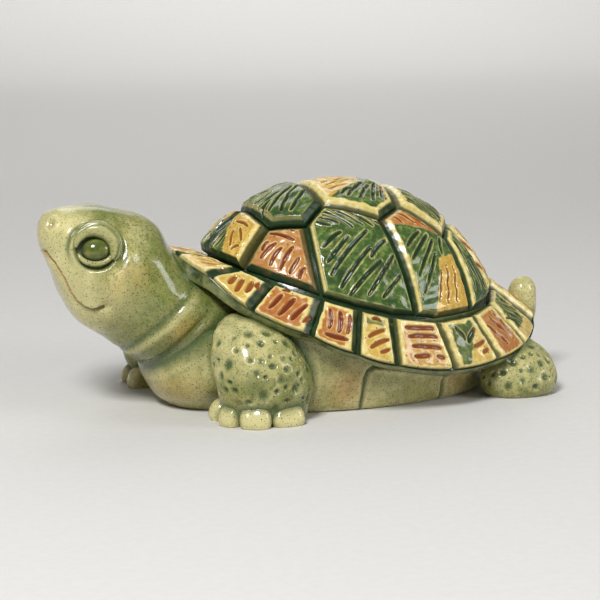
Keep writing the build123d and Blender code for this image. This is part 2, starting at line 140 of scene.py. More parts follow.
class Sock:
    """A shader socket that adds Math nodes when it is used in an expression."""

    def __init__(self, tree, socket):
        self.tree = tree
        self.socket = socket

    def math(self, operation, *values):
        return self.tree.add("ShaderNodeMath", {"operation": operation}, list(values))

    def output(self, which):
        """Another output of the same node."""
        return Sock(self.tree, self.socket.node.outputs[which])

    def __add__(self, other):
        return self.math("ADD", self, other)

    def __radd__(self, other):
        return self.math("ADD", other, self)

    def __sub__(self, other):
        return self.math("SUBTRACT", self, other)

    def __rsub__(self, other):
        return self.math("SUBTRACT", other, self)

    def __mul__(self, other):
        return self.math("MULTIPLY", self, other)

    def __rmul__(self, other):
        return self.math("MULTIPLY", other, self)

    def __gt__(self, other):
        return self.math("GREATER_THAN", self, other)

    def __lt__(self, other):
        return self.math("LESS_THAN", self, other)


class GlazeTree:
    """Node tree of one glaze."""

    def __init__(self, name):
        self.material = bpy.data.materials.new(name)
        self.material.use_nodes = True
        self.tree = self.material.node_tree
        self.shader = self.tree.nodes["Principled BSDF"]
        self.place = self.add("ShaderNodeTexCoord", {}, {}, "Object")

    def add(self, kind, settings, inputs, output=0):
        """Add a node: settings first, then values or links by socket name or place."""
        node = self.tree.nodes.new(kind)
        for key, value in settings.items():
            setattr(node, key, value)
        pairs = inputs.items() if isinstance(inputs, dict) else enumerate(inputs)
        for key, value in pairs:
            self.feed(node.inputs[key], value)
        return Sock(self, node.outputs[output])

    def feed(self, socket, value):
        """Set a socket to a number or a colour, or link it."""
        if isinstance(value, Sock):
            self.tree.links.new(value.socket, socket)
        elif isinstance(value, tuple):
            socket.default_value = (*value, 1)
        else:
            socket.default_value = value

    def noise(self, size_mm, detail=3.0, roughness=0.55, distortion=0.0):
        """Cloudy noise of about the given grain."""
        values = {"Vector": self.place, "Scale": 1 / (size_mm * MM), "Detail": detail}
        values.update({"Roughness": roughness, "Distortion": distortion})
        return self.add("ShaderNodeTexNoise", {}, values, "Fac")

    def ramp(self, value, low, high):
        """Straight ramp from 0 at low to 1 at high."""
        values = {"Value": value, "From Min": low, "From Max": high}
        return self.add("ShaderNodeMapRange", {"clamp": True}, values, "Result")

    def mix(self, first, second, share):
        """Mix two colours. The Mix node keeps its colour sockets at fixed places."""
        values = {MIX_FACTOR: share, MIX_FIRST: first, MIX_SECOND: second}
        return self.add("ShaderNodeMix", {"data_type": "RGBA"}, values, MIX_RESULT)

    def painted(self, name):
        """The three channels of a painted vertex layer."""
        layer = self.add("ShaderNodeAttribute", {"attribute_name": name}, {}, "Color")
        split = self.add("ShaderNodeSeparateColor", {}, {"Color": layer})
        return [split.output(channel) for channel in range(3)]

    def specks(self, cell_mm, radius, share):
        """Small round specks: one in some of the cells of a cellular pattern."""
        values = {"Vector": self.place, "Scale": 1 / (cell_mm * MM), "Randomness": 1.0}
        near = self.add("ShaderNodeTexVoronoi", {"feature": "F1"}, values, "Distance")
        pick = self.add("ShaderNodeSeparateColor", {}, {"Color": near.output("Color")}, "Red")
        return self.ramp(near, radius, radius * SPECK_CORE) * (pick < share)

    def dress(self, values):
        """Set or link the shader's own sockets."""
        for name, value in values.items():
            self.feed(self.shader.inputs[name], value)

    def finish(self, colour, roughness, bump, coat):
        """Dress the shader as a fired glaze under a thin clear coat."""
        grain = {"Strength": GRAIN_STRENGTH, "Distance": GRAIN_DEPTH * MM, "Height": bump}
        normal = self.add("ShaderNodeBump", {}, grain, "Normal")
        self.dress({"Base Color": colour, "Roughness": roughness, "Coat Weight": coat, "Normal": normal})
        self.dress(FIRED_GLAZE)
        return self.material


def glaze_colours():
    """The sidebar's glaze colours by name."""
    glazes = bpy.context.scene.turtle_glazes
    return {name: tuple(getattr(glazes, name)) for name in TurtleGlazes.__annotations__}


def carved_glaze():
    """Glaze of the scutes and tiles: painted zones, dark strokes, cream edges and lines that are partly thin glaze
    and partly painted light and highlight.
    """
    tint = glaze_colours()
    t = GlazeTree("carved_shell_glaze")
    terracotta, green, ochre = t.painted("zones")
    stroke, pooled, bare_and_lit = t.painted("carving")
    broad = t.noise(9.0, 3.0)
    mottle = t.noise(1.7, 4.0, 0.6)
    fine = t.noise(0.55, 2.0)
    cream_tone = t.mix(tint["cream"], (0.84, 0.73, 0.36), t.ramp(mottle, 0.42, 0.66))
    cream_tone = t.mix(cream_tone, (0.50, 0.44, 0.11), t.ramp(broad, 0.5, 0.72) * 0.7)
    green_tone = t.mix(tint["green"], (0.20, 0.26, 0.062), t.ramp(mottle, 0.46, 0.7))
    green_tone = t.mix(green_tone, (0.013, 0.042, 0.014), t.ramp(broad, 0.44, 0.66) * 0.85)
    clay_tone = t.mix(tint["terracotta"], (0.52, 0.25, 0.08), t.ramp(mottle, 0.45, 0.7))
    clay_tone = t.mix(clay_tone, (0.34, 0.08, 0.02), t.ramp(broad, 0.5, 0.72) * 0.6)
    ochre_tone = t.mix(tint["ochre"], (0.72, 0.50, 0.12), t.ramp(mottle, 0.45, 0.7))
    ochre_tone = t.mix(ochre_tone, (0.40, 0.17, 0.012), t.ramp(broad, 0.52, 0.74) * 0.6)
    field = t.mix(cream_tone, clay_tone, terracotta)
    field = t.mix(field, green_tone, green)
    field = t.mix(field, ochre_tone, ochre)
    cut = t.mix((0.24, 0.062, 0.014), tint["rust"], terracotta)
    cut = t.mix(cut, tint["deep_green"], green)
    cut = t.mix(cut, tint["amber"], ochre)
    # Cream edges and highlight lines, partly thin glaze and partly painted light and painted highlight.
    field = t.mix(field, cream_tone, bare_and_lit)
    # Dark green, partly glaze pooled in the grooves and partly painted shade on edges turned from the light.
    field = t.mix(field, tint["deep_green"], pooled)
    field = t.mix(field, cut, t.ramp(stroke, 0.04, 0.7))
    field = t.mix(field, tint["speck"], t.specks(1.5, 0.2, 0.33))
    shine = 0.16 + fine * 0.10 + pooled * 0.2
    return t.finish(field, shine, fine * 0.5 + mottle * 0.5, 0.48 - pooled * 0.42)


def celadon_glaze():
    """Glaze of the body, head and limbs: speckled celadon, green where it pooled."""
    tint = glaze_colours()
    t = GlazeTree("celadon_body_glaze")
    pooled, flushed, thin = t.painted("wash")
    blushed, shaded, ring = t.painted("tint")
    broad = t.noise(17.0, 4.0, 0.6, 0.4)
    cloud = t.noise(6.0, 4.0, 0.62)
    mottle = t.noise(1.3, 4.0, 0.65)
    fine = t.noise(0.5, 2.0)
    body = t.mix(tint["celadon"], tint["celadon_green"], t.ramp(broad, 0.42, 0.60) * 0.75)
    body = t.mix(body, tint["pale"], t.ramp(cloud, 0.45, 0.63) * 0.85)
    body = t.mix(body, (0.36, 0.30, 0.06), t.ramp(t.noise(11.0, 3.0, 0.6), 0.50, 0.66) * 0.6)
    drift = t.ramp(t.noise(3.0, 3.0, 0.6), 0.50, 0.62)
    body = t.mix(body, tint["celadon_green"], drift * (0.25 + shaded * 0.5))
    body = t.mix(body, tint["celadon_green"], shaded * (0.45 + mottle * 0.7))
    body = t.mix(body, tint["flush"], flushed * t.ramp(cloud, 0.25, 0.62))
    body = t.mix(body, tint["blush"], blushed * t.ramp(mottle, 0.2, 0.7))
    body = t.mix(body, (0.13, 0.145, 0.035), t.ramp(mottle, 0.50, 0.68) * 0.72)
    # The thin channel is pale where the glaze lies thin, and also holds painted highlights on the legs, beside the
    # body's panel grooves and on the neck's fold ridges.
    body = t.mix(body, tint["pale"], thin * 0.85)
    body = t.mix(body, (0.035, 0.085, 0.025), pooled)
    body = t.mix(body, (0.55, 0.22, 0.07), ring)
    body = t.mix(body, (0.05, 0.045, 0.014), t.specks(0.75, 0.33, 0.75) * (0.62 + shaded * 0.35))
    body = t.mix(body, tint["speck"], t.specks(1.4, 0.2, 0.55) * 0.9)
    shine = 0.17 + fine * 0.10
    return t.finish(body, shine, fine * 0.4 + mottle * 0.6, 0.5)


def groove_glaze():
    """Dark green glaze that fills the grooves and runs down under the rim."""
    tint = glaze_colours()
    t = GlazeTree("pooled_groove_glaze")
    cloud = t.noise(5.0, 4.0, 0.6)
    mottle = t.noise(1.1, 3.0, 0.6)
    lip, under, _ = t.painted("wash")
    tone = t.mix(tint["deep_green"], (0.035, 0.075, 0.022), t.ramp(cloud, 0.42, 0.7))
    tone = t.mix(tone, (0.12, 0.155, 0.05), under * t.ramp(cloud, 0.2, 0.6) * 0.8)
    tone = t.mix(tone, (0.27, 0.28, 0.10), lip * t.ramp(cloud, 0.3, 0.62) * 0.9)
    tone = t.mix(tone, tint["speck"], t.specks(1.2, 0.2, 0.3))
    return t.finish(tone, 0.15 + mottle * 0.08, mottle, 0.35)


def eye_glaze():
    """Olive glaze of the eyeballs, dark at the rim, with painted shade at the top under the upper lid."""
    t = GlazeTree("olive_eye_glaze")
    rim, _, lid_shadow = t.painted("wash")
    cloud = t.noise(2.6, 3.0, 0.6)
    tone = t.mix((0.075, 0.10, 0.018), (0.19, 0.19, 0.035), t.ramp(cloud, 0.4, 0.66))
    # Painted shade: a darker patch at the top of the ball, under the upper lid.
    tone = t.mix(tone, (0.055, 0.10, 0.02), lid_shadow)
    tone = t.mix(tone, (0.02, 0.035, 0.012), rim)
    tone = t.mix(tone, (0.03, 0.02, 0.008), t.specks(1.1, 0.16, 0.3))
    return t.finish(tone, 0.13 + cloud * 0.06, cloud * 0.5, 0.6)


def material(name):
    """A glaze by name, made once."""
    makers = {
        "carved_shell_glaze": carved_glaze,
        "celadon_body_glaze": celadon_glaze,
        "pooled_groove_glaze": groove_glaze,
        "olive_eye_glaze": eye_glaze,
    }
    found = bpy.data.materials.get(name)
    return found if found else makers[name]()


# Working with meshes

# Angles in degrees past which an edge stays sharp
CARVED_CREASE, BODY_CREASE, BOWL_CREASE = 75, 80, 70
SEAM_GAP = 2e-6
WOBBLE_WAVES, WOBBLE_SCALE = 7, 2.6


def start_fresh():
    """Leave edit mode and select nothing."""
    if bpy.context.object and bpy.context.object.mode != "OBJECT":
        bpy.ops.object.mode_set(mode="OBJECT")
    bpy.ops.object.select_all(action="DESELECT")


def pick_up(piece):
    """Select one piece alone."""
    start_fresh()
    piece.select_set(True)
    bpy.context.view_layer.objects.active = piece


def named(name):
    """The primitive that was just added, under its own name."""
    piece = bpy.context.active_object
    piece.name = piece.data.name = name
    return piece


def points_of(piece):
    """Vertices of a piece in millimetres."""
    flat = np.empty(len(piece.data.vertices) * 3, dtype=np.float32)
    piece.data.vertices.foreach_get("co", flat)
    return flat.reshape(-1, 3).astype(float) / MM


def place_points(piece, points):
    """Move the vertices of a piece to points in millimetres."""
    piece.data.vertices.foreach_set("co", (points * MM).astype(np.float32).ravel())
    piece.data.update()


def normals_of(piece):
    """Vertex normals of a piece."""
    flat = np.empty(len(piece.data.vertices) * 3, dtype=np.float32)
    piece.data.vertices.foreach_get("normal", flat)
    return flat.reshape(-1, 3).astype(float)


def paint(piece, layer, *channels):
    """Write a painted vertex layer of three channels."""
    values = np.ones((len(piece.data.vertices), 4), dtype=np.float32)
    for place, channel in enumerate(channels):
        values[:, place] = np.clip(channel, 0, 1)
    painted = piece.data.attributes.new(layer, "FLOAT_COLOR", "POINT")
    painted.data.foreach_set("color", values.ravel())


def grid_piece(name, across, along):
    """A flat grid to be shaped, with each vertex's share across and along."""
    start_fresh()
    bpy.ops.mesh.primitive_grid_add(x_subdivisions=across, y_subdivisions=along, size=1)
    piece = named(name)
    flat = points_of(piece) * MM
    return piece, np.clip(flat[:, 0] + 0.5, 0, 1), np.clip(flat[:, 1] + 0.5, 0, 1)


def fan_piece(name, corners, cuts):
    """A flat polygon poked at its middle and subdivided, with its vertices in the plane."""
    start_fresh()
    bpy.ops.mesh.primitive_circle_add(vertices=len(corners), radius=1, fill_type="NGON")
    piece = named(name)
    flat = np.zeros((len(corners), 3))
    flat[:, :2] = corners
    place_points(piece, flat)
    bpy.ops.object.mode_set(mode="EDIT")
    bpy.ops.mesh.select_all(action="SELECT")
    bpy.ops.mesh.poke()
    bpy.ops.mesh.subdivide(number_cuts=cuts)
    bpy.ops.object.mode_set(mode="OBJECT")
    return piece, points_of(piece)[:, :2]


def close_border(piece, shift):
    """Extrude the open border, move the new edge with shift, and fill it."""
    pick_up(piece)
    count = len(piece.data.vertices)
    bpy.ops.object.mode_set(mode="EDIT")
    bpy.ops.mesh.select_mode(type="EDGE")
    bpy.ops.mesh.select_all(action="DESELECT")
    bpy.ops.mesh.select_non_manifold()
    bpy.ops.mesh.extrude_edges_move()
    bpy.ops.object.mode_set(mode="OBJECT")
    points = points_of(piece)
    points[count:] = shift(points[count:])
    place_points(piece, points)
    bpy.ops.object.mode_set(mode="EDIT")
    bpy.ops.mesh.edge_face_add()
    bpy.ops.object.mode_set(mode="OBJECT")


def join_seam(piece):
    """Merge the seam and the poles of a wrapped grid and fill what stays open."""
    pick_up(piece)
    bpy.ops.object.mode_set(mode="EDIT")
    bpy.ops.mesh.select_mode(type="VERT")
    bpy.ops.mesh.select_all(action="SELECT")
    bpy.ops.mesh.remove_doubles(threshold=SEAM_GAP)
    bpy.ops.mesh.select_mode(type="EDGE")
    bpy.ops.mesh.select_all(action="DESELECT")
    bpy.ops.mesh.select_non_manifold()
    bpy.ops.mesh.edge_face_add()
    bpy.ops.object.mode_set(mode="OBJECT")


def hand_in(piece, node, glaze, crease):
    """Point faces outward, smooth the piece and put it in the place of its clay member."""
    pick_up(piece)
    bpy.ops.object.mode_set(mode="EDIT")
    bpy.ops.mesh.select_all(action="SELECT")
    bpy.ops.mesh.normals_make_consistent(inside=False)
    bpy.ops.object.mode_set(mode="OBJECT")
    bpy.ops.object.shade_smooth_by_angle(angle=radians(crease))
    piece.data.materials.clear()
    piece.data.materials.append(material(glaze))
    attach(piece, "root")
    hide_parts(node)


def unit(vectors):
    """Vectors at length 1."""
    return vectors / np.linalg.norm(vectors, axis=-1, keepdims=True)


def smooth_step(low, high, values):
    """Smooth step from 0 at low to 1 at high, which may be the lesser one."""
    share = np.clip((values - low) / (high - low), 0, 1)
    return share * share * (3 - 2 * share)


def bell(values, middle, width):
    """Bell that is 1 at the middle."""
    return np.exp(-(((values - middle) / width) ** 2))


def spot(first, second, middle, size):
    """Soft oval spot on two coordinates that is 1 at its middle."""
    return np.exp(-(((first - middle[0]) / size[0]) ** 2) - ((second - middle[1]) / size[1]) ** 2)


def knots_along(rows, least):
    """Running length along rows that start with a place in the side view."""
    runs = [max(least, np.hypot(b[0] - a[0], b[1] - a[1])) for a, b in zip(rows, rows[1:])]
    return np.concatenate([[0], np.cumsum(runs)])


def outward(normals, away):
    """Normals turned to the side that away points to."""
    return normals * np.where(np.sum(normals * away, axis=1) < 0, -1, 1)[:, None]


def wobble(points, span, seed):
    """Soft uneven field between about -1 and 1, with swells about span long."""
    draw = np.random.default_rng(seed + sizes().seed * 1000)
    total = np.zeros(len(points))
    for _ in range(WOBBLE_WAVES):
        way = unit(draw.normal(size=points.shape[1]))
        pace = 2 * pi / (span * draw.uniform(0.7, 1.5))
        total += np.sin(points @ way * pace + draw.uniform(0, 2 * pi))
    return total / WOBBLE_SCALE


def through(knots, values, at):
    """Smooth curve through values at knots, read at the given places."""
    knots = np.asarray(knots, dtype=float)
    values = np.asarray(values, dtype=float)
    slopes = np.gradient(values, knots)
    place = np.clip(np.searchsorted(knots, at, side="right") - 1, 0, len(knots) - 2)
    span = knots[place + 1] - knots[place]
    t = (at - knots[place]) / span
    low, high = values[place], values[place + 1]
    return (
        (2 * t**3 - 3 * t**2 + 1) * low
        + (t**3 - 2 * t**2 + t) * span * slopes[place]
        + (-2 * t**3 + 3 * t**2) * high
        + (t**3 - t**2) * span * slopes[place + 1]
    )


def to_path(points, path):
    """Distance from flat points to a flat path, and the share of the way along it."""
    path = np.asarray(path, dtype=float)
    best = np.full(len(points), 1e9)
    along = np.zeros(len(points))
    runs = np.linalg.norm(np.diff(path, axis=0), axis=1)
    before = np.concatenate([[0], np.cumsum(runs)])
    for k, (start, end) in enumerate(zip(path[:-1], path[1:])):
        way = end - start
        t = np.clip((points - start) @ way / (way @ way), 0, 1)
        gap = np.linalg.norm(points - start - t[:, None] * way, axis=1)
        nearer = gap < best
        best = np.where(nearer, gap, best)
        along = np.where(nearer, (before[k] + t * runs[k]) / before[-1], along)
    return best, along


# Shell geometry shared by the scutes, the tiles and the carapace

TILE_ANGLES = [12, 32, 51, 71, 91, 104, 118, 137, 152, 170]
RING_CLIMB = (37.0, 19.0, 19.0)
RIM_REACH = (13.5, 13.5, 6.5)
RIM_HEIGHT = (27.8, 16.0, 9.5)
TILE_THICKNESS = 3.0
SKIRT_DEPTH = TILE_THICKNESS + 0.3
TILE_BULGE = 0.7
# The tail tile reaches out, bulges and lifts more than the others, and the ring rises to it
TAIL_REACH = 5.2
TAIL_BULGE = 2.0
TAIL_LIFT = 5.0
TAIL_INNER_LIFT = 0.6
TAIL_RING_RISE = 2.0
TAIL_RING_POWER = 24
TAIL_REACH_POWER = 6
# How much higher the rim runs at some of the tile angles than its even sweep
RIM_TRIM = {12: 0.2, 32: -0.8, 137: -2.1, 152: 1.3, 170: 1.6}


class Shell:
    """Dome, ring and rim in millimetres."""

    def __init__(self):
        s = sizes()
        self.radii = np.array([mm(s.dome_radius), mm(s.dome_half_width), mm(s.dome_radius)])
        self.centre = np.array([mm(s.dome_x), 0.0, mm(s.dome_z)])
        front = self.radii[0] * cos(radians(RING_CLIMB[0]))
        rear = self.radii[0] * cos(radians(RING_CLIMB[1]))
        self.ring_x = self.centre[0] + (rear - front) / 2
        self.ring_length = (front + rear) / 2
        self.ring_width = self.radii[1] * cos(radians(RING_CLIMB[2]))
        self.rim_x = self.ring_x + (RIM_REACH[1] - RIM_REACH[0]) / 2
        self.rim_length = self.ring_length + (RIM_REACH[0] + RIM_REACH[1]) / 2
        self.rim_width = self.ring_width + RIM_REACH[2]
        left = [-a for a in reversed(TILE_ANGLES)]
        self.stops = left + TILE_ANGLES + [360 + left[0]]
        self.inner = np.array([self.ring_point(a) for a in self.stops])
        self.outer = np.array([self.rim_point(a) for a in self.stops])
        away = unit(self.outer - self.inner)
        self.up = unit(Z_AXIS - away * away[:, 2:3])

    def on_dome(self, x, y):
        """Point of the dome above a place in plan."""
        rise = 1 - ((x - self.centre[0]) / self.radii[0]) ** 2 - (y / self.radii[1]) ** 2
        return np.array([x, y, self.centre[2] + self.radii[2] * sqrt(rise)])

    def ring_point(self, angle):
        """Point of the ring, where the scutes end and the rim tiles start."""
        a = radians(angle)
        rise = TAIL_RING_RISE * max(0.0, cos(a)) ** TAIL_RING_POWER
        return self.on_dome(self.ring_x + self.ring_length * cos(a), self.ring_width * sin(a)) + Z_AXIS * rise

    def rim_point(self, angle):
        """Point of the rim's edge."""
        a = radians(angle)
        height = RIM_HEIGHT[0] - RIM_HEIGHT[1] * cos(a) + RIM_HEIGHT[2] * cos(2 * a)
        height += RIM_TRIM.get(abs((angle + 180) % 360 - 180), 0.0)
        out = TAIL_REACH * max(0.0, cos(a)) ** TAIL_REACH_POWER
        return np.array([self.rim_x + (self.rim_length + out) * cos(a), self.rim_width * sin(a), height])

    def corner(self, share, side):
        """Scute corner from its shares of the ring."""
        return self.on_dome(self.ring_x + share[0] * self.ring_length, side * share[1] * self.ring_width)

    def hit(self, ways, offset=0.0):
        """Points of the dome, its skin moved by offset, in the given ways from its centre."""
        radii = self.radii + offset
        return self.centre + ways / np.linalg.norm(ways / radii, axis=1, keepdims=True)

    def normal(self, points):
        """Outward normals of the dome at its points."""
        return unit((points - self.centre) / self.radii**2)

    def section(self, station):
        """Inner point, outer point and face direction of the rim at stations counted in tiles."""
        k = np.clip(np.floor(station).astype(int), 0, len(self.stops) - 2)
        f = (station - k)[:, None]
        inner = self.inner[k] * (1 - f) + self.inner[k + 1] * f
        outer = self.outer[k] * (1 - f) + self.outer[k + 1] * f
        at_tail = (k == len(TILE_ANGLES) - 1)[:, None]
        bulge = TILE_BULGE + at_tail * (TAIL_BULGE - TILE_BULGE)
        outer = outer + unit(outer - inner) * bulge * (1 - (2 * f - 1) ** 2)
        lift = Z_AXIS * at_tail * TAIL_LIFT * (1 - (2 * f - 1) ** 4)
        inner, outer = inner + TAIL_INNER_LIFT * lift, outer + lift
        return inner, outer, unit(self.up[k] * (1 - f) + self.up[k + 1] * f)


# Carving

# A stroke: width at its ends against its middle, how far its ends stray, the range of its
# width against the drawn one, and of its bow
STROKE_END = 0.62
STROKE_STRAY = 0.16
STROKE_WIDTHS = (1.1, 1.35)
STROKE_BOWS = (-0.15, 0.5)
# The lip that a stroke throws up: its place beside the stroke, its width and its height
LIP_AWAY, LIP_WIDTH, LIP_HEIGHT = 0.22, 0.32, 0.16
# How far a sloping edge wanders, long and short, and how far a face swells
EDGE_WANDER, EDGE_CHATTER, FACE_SWELL = 0.12, 0.05, 0.16


def edges_of(corners):
    """Middle-facing normals and offsets of a convex polygon's edges."""
    middle = corners.mean(axis=0)
    found = []
    for a, b in zip(corners, np.roll(corners, -1, axis=0)):
        way = b - a
        if np.linalg.norm(way) < 1e-6:
            continue
        inward = np.array([-way[1], way[0]]) / np.linalg.norm(way)
        if (middle - a) @ inward < 0:
            inward = -inward
        found.append((inward, a @ inward))
    return found


def inset_polygon(corners, amount):
    """Convex polygon with each edge moved in by amount."""
    edges = edges_of(corners)
    moved = []
    for (n1, o1), (n2, o2) in zip(edges[-1:] + edges[:-1], edges):
        moved.append(np.linalg.solve(np.array([n1, n2]), np.array([o1 + amount, o2 + amount])))
    return np.array(moved)


def stroke_field(points, strokes):
    """Depth of carving at flat points, 0 to 1, and nearness to a stroke's lip."""
    depth = np.zeros(len(points))
    lip = np.zeros(len(points))
    for start, end, half_width, bow in strokes:
        way = end - start
        span = np.linalg.norm(way)
        side = np.array([-way[1], way[0]]) / span
        t = np.clip((points - start) @ way / span**2, 0, 1)
        swell = 4 * t * (1 - t)
        gap = np.linalg.norm(points - start - t[:, None] * way - (bow * swell)[:, None] * side, axis=1)
        width = half_width * (STROKE_END + (1 - STROKE_END) * np.sqrt(swell))
        depth = np.maximum(depth, np.clip(1 - (gap / width) ** 2, 0, 1))
        lip = np.maximum(lip, 1 - np.clip(np.abs(gap - width - LIP_AWAY) / LIP_WIDTH, 0, 1))
    return depth, lip * (depth <= 0.02)


COLOURS = {"clay": 0, "green": 1, "ochre": 2}
# Rounding where a face turns into its sloping edge, and the lowest point, in shares of the drop
SHOULDER_ROUND = 0.10
DEEPEST_FALL = 1.1


def carve(flat, corners, zones, cuts, bevel, seed, bare_and_lit_side, widen=0.0, low_edge=1.0):
    """Height and paint of a carved tile whose face is the polygon corners.

    Sloping edges that face along the given side are painted cream, partly as thin glaze and partly as painted light;
    the others hold pooled green, partly as painted shade. widen makes the edges that face the rear broader, and
    low_edge scales the lowest one.
    """
    s = sizes()
    draw = np.random.default_rng(seed + s.seed * 100)
    count = len(flat)
    gap = np.full(count, 1e9)
    facing = np.zeros((count, 2))
    for inward, offset in edges_of(corners):
        width = 1 + widen * max(0.0, -inward[0])
        if inward[1] > 0.9:
            width = low_edge
        inside = (flat @ inward - offset) / width
        nearer = inside < gap
        gap = np.where(nearer, inside, gap)
        facing[nearer] = -inward
    uneven = wobble(flat, 6.0, seed + 1)
    chatter = wobble(flat, 3.0, seed + 6)
    slope = np.clip(1 - (gap + EDGE_WANDER * uneven + EDGE_CHATTER * chatter) / bevel, 0, None)
    rounded = np.sqrt(slope**2 + SHOULDER_ROUND**2) - SHOULDER_ROUND
    fall = np.clip((slope + rounded) / 2, 0, DEEPEST_FALL)
    height = -mm(s.bevel_drop) * fall
    shares = np.zeros((count, 3))
    strokes = []
    on_field = smooth_step(0.1, 0.75, gap - bevel + 0.35 * wobble(flat, 3.5, seed + 2))
    for colour, lines, border, strength in zones:
        inside = np.full(count, 10.0)
        for angle, offset in lines:
            way = np.array([cos(radians(angle)), sin(radians(angle))])
            inside = np.minimum(inside, flat @ way - offset)
        share = strength * smooth_step(-0.35, 0.35, inside + 0.3 * wobble(flat, 4.0, seed + 3))
        if border:
            share = share * smooth_step(0.0, 0.7, gap - bevel - border + 0.4 * wobble(flat, 3.0, seed + 4))
        shares *= (1 - share)[:, None]
        shares[:, COLOURS[colour]] += share
    for half_width, rows in cuts:
        for row in rows:
            ends = np.array(row).reshape(2, 2) + draw.normal(0, STROKE_STRAY, (2, 2))
            width = half_width * draw.uniform(*STROKE_WIDTHS)
            strokes.append((ends[0], ends[1], width, draw.uniform(*STROKE_BOWS)))
    depth, lip = stroke_field(flat, strokes)
    height = height - mm(s.stroke_depth) * depth + LIP_HEIGHT * lip
    height = height + FACE_SWELL * uneven * on_field
    # How far a sloping edge faces the given side: edges that face it are painted cream, partly as painted light, and
    # the others dark, partly as painted shade.
    lit = np.clip(bare_and_lit_side[2] + facing @ np.asarray(bare_and_lit_side[:2]), 0, 1)
    sloped = 1 - smooth_step(bevel * 0.72, bevel * 1.04, gap)
    # The field's shoulder line, stronger on the lit side, and the stroke lips get cream painted highlight lines,
    # with thinner glaze there too.
    shoulder = 1 - np.clip(np.abs(gap - bevel * 0.96) / 0.42, 0, 1)
    foot = 1 - smooth_step(bevel * 0.25, bevel * 0.6, gap)
    patch = np.clip(0.75 + 0.5 * wobble(flat, 5.0, seed + 5), 0, 1)
    # Cream paint on lit sloping edges and on the highlight lines: partly thin glaze, partly painted light and
    # painted highlight.
    bare_and_lit = np.maximum(sloped * lit, shoulder * (0.35 + 0.5 * lit) * patch)
    bare_and_lit = np.maximum(bare_and_lit, lip * 0.7 * patch)
    # Dark paint: glaze pooled at the foot of the edges, and painted shade on sloping edges turned away from the
    # light.
    pooled = np.maximum(sloped * (1 - lit) * (0.88 + 0.12 * patch), foot * (0.95 - 0.08 * lit))
    bare_and_lit = np.clip(bare_and_lit * (1 - 0.92 * foot), 0, 1)
    return height, shares, (depth, pooled, bare_and_lit)


# The scutes: corner names follow the clay member they belong to

CORNERS = {
    "neck": (-0.715, 0.0),
    "shoulder": (-0.685, 0.365),
    "front_waist": (-0.465, 0.53),
    "front_crest": (-0.315, 0.415),
    "flank": (0.035, 0.59),
    "rear_crest": (0.215, 0.435),
    "hip": (0.52, 0.53),
    "rump": (0.59, 0.345),
    "tail": (0.72, 0.0),
}
TAIL, TAIL_SIDE, HIP, REAR, MID, FLANK, WAIST, CHEST, SHOULDER, NECK = TILE_ANGLES

# Width of a side scute's sloping edge against the usual one
SIDE_BEVELS = {"hip": 1.2, "rear": 1.1, "tail": 1.1, "shoulder": 1.15}
# Which sloping edges are painted cream, partly as thin glaze and partly as painted light, while the others are
# painted dark, partly as painted shade: the way that the cream ones face, and how much cream the others get
PLAIN_BARE_AND_LIT = (-0.9, 0.35, 0.4)
SIDE_BARE_AND_LIT = {"shoulder": (-0.3, 0.4, 0.3), "neck": (0.6, 0.5, 0.45)}
TILE_BARE_AND_LIT = (-0.6, -0.15, 0.45)
# The roll at the foot of a rim tile: how high it starts, how far it drops and draws in
ROLL_START, ROLL_DROP, ROLL_IN = 2.6, 0.5, 0.3
# How far some scutes stand proud of the dome's true curve
PROUD = {"front": 1.2, "neck": 1.6}
# Where the rear and tail scutes meet the ring
RUMP_ANGLE = 26
SCUTE_CUTS = 63
TILE_GRID = 54
CROWN_SEED, SIDE_SEED, TILE_SEED = 11, 20, 200

# Zones of a scute or tile: colour, lines that bound it, plain border, strength.
# A line is its normal's angle and its offset. Lengths are in millimetres and angles in
# degrees; on a face x runs to the rear and y up the dome, and on a crown scute y runs to
# the right.
CROWN_ZONES = {
    "front": [("green", [], 0.0, 1.0)],
    "middle": [
        ("green", [], 0.9, 1.0),
        ("ochre", [(-90, 0), (126, -6.4), (180, -3.5)], 0.9, 0.9),
        ("ochre", [(90, 0), (-126, -6.4), (180, -3.5)], 0.9, 0.9),
    ],
    "rear": [("green", [], 1.0, 1.0)],
}
SIDE_ZONES = {
    "neck": [("green", [(210, 1.0)], 0.0, 1.0), ("ochre", [(30, -1.0)], 0.0, 0.9)],
    "shoulder": [("clay", [], 0.0, 0.88)],
    "flank": [("green", [], 0.0, 1.0)],
    "hip": [
        ("green", [], 0.0, 1.0),
        ("ochre", [(-28, 2.4), (-90, 0.0)], 0.0, 0.9),
        ("clay", [(60, 11.4)], 0.0, 1.0),
    ],
    "rear": [("green", [], 0.0, 1.0)],
    "tail": [("clay", [(180, -2.0)], 0.8, 1.0), ("green", [(0, 2.0)], 0.8, 1.0)],
}
TILE_ZONES = {
    "neck_tile": [("clay", [], 0.8, 0.9)],
    "1": [("ochre", [], 0.6, 0.9)],
    "2": [("ochre", [], 0.6, 0.75)],
    "3": [("clay", [], 0.4, 1.0)],
    "4": [("clay", [], 0.7, 1.0)],
    "5": [("ochre", [(-90, -3.4)], 0.9, 0.7), ("green", [(90, 3.4)], 0.9, 0.8)],
    "6": [("clay", [], 0.6, 0.62)],
    "7": [("ochre", [(-40, 2.0)], 0.8, 0.65), ("green", [(140, -2.0)], 0.8, 0.95)],
    "8": [("clay", [], 0.7, 0.95)],
    "9": [("green", [(90, -5.5)], 0.7, 1.0), ("ochre", [(-90, 5.5)], 0.7, 0.5)],
    "tail_tile": [("clay", [], 0.8, 0.95)],
}

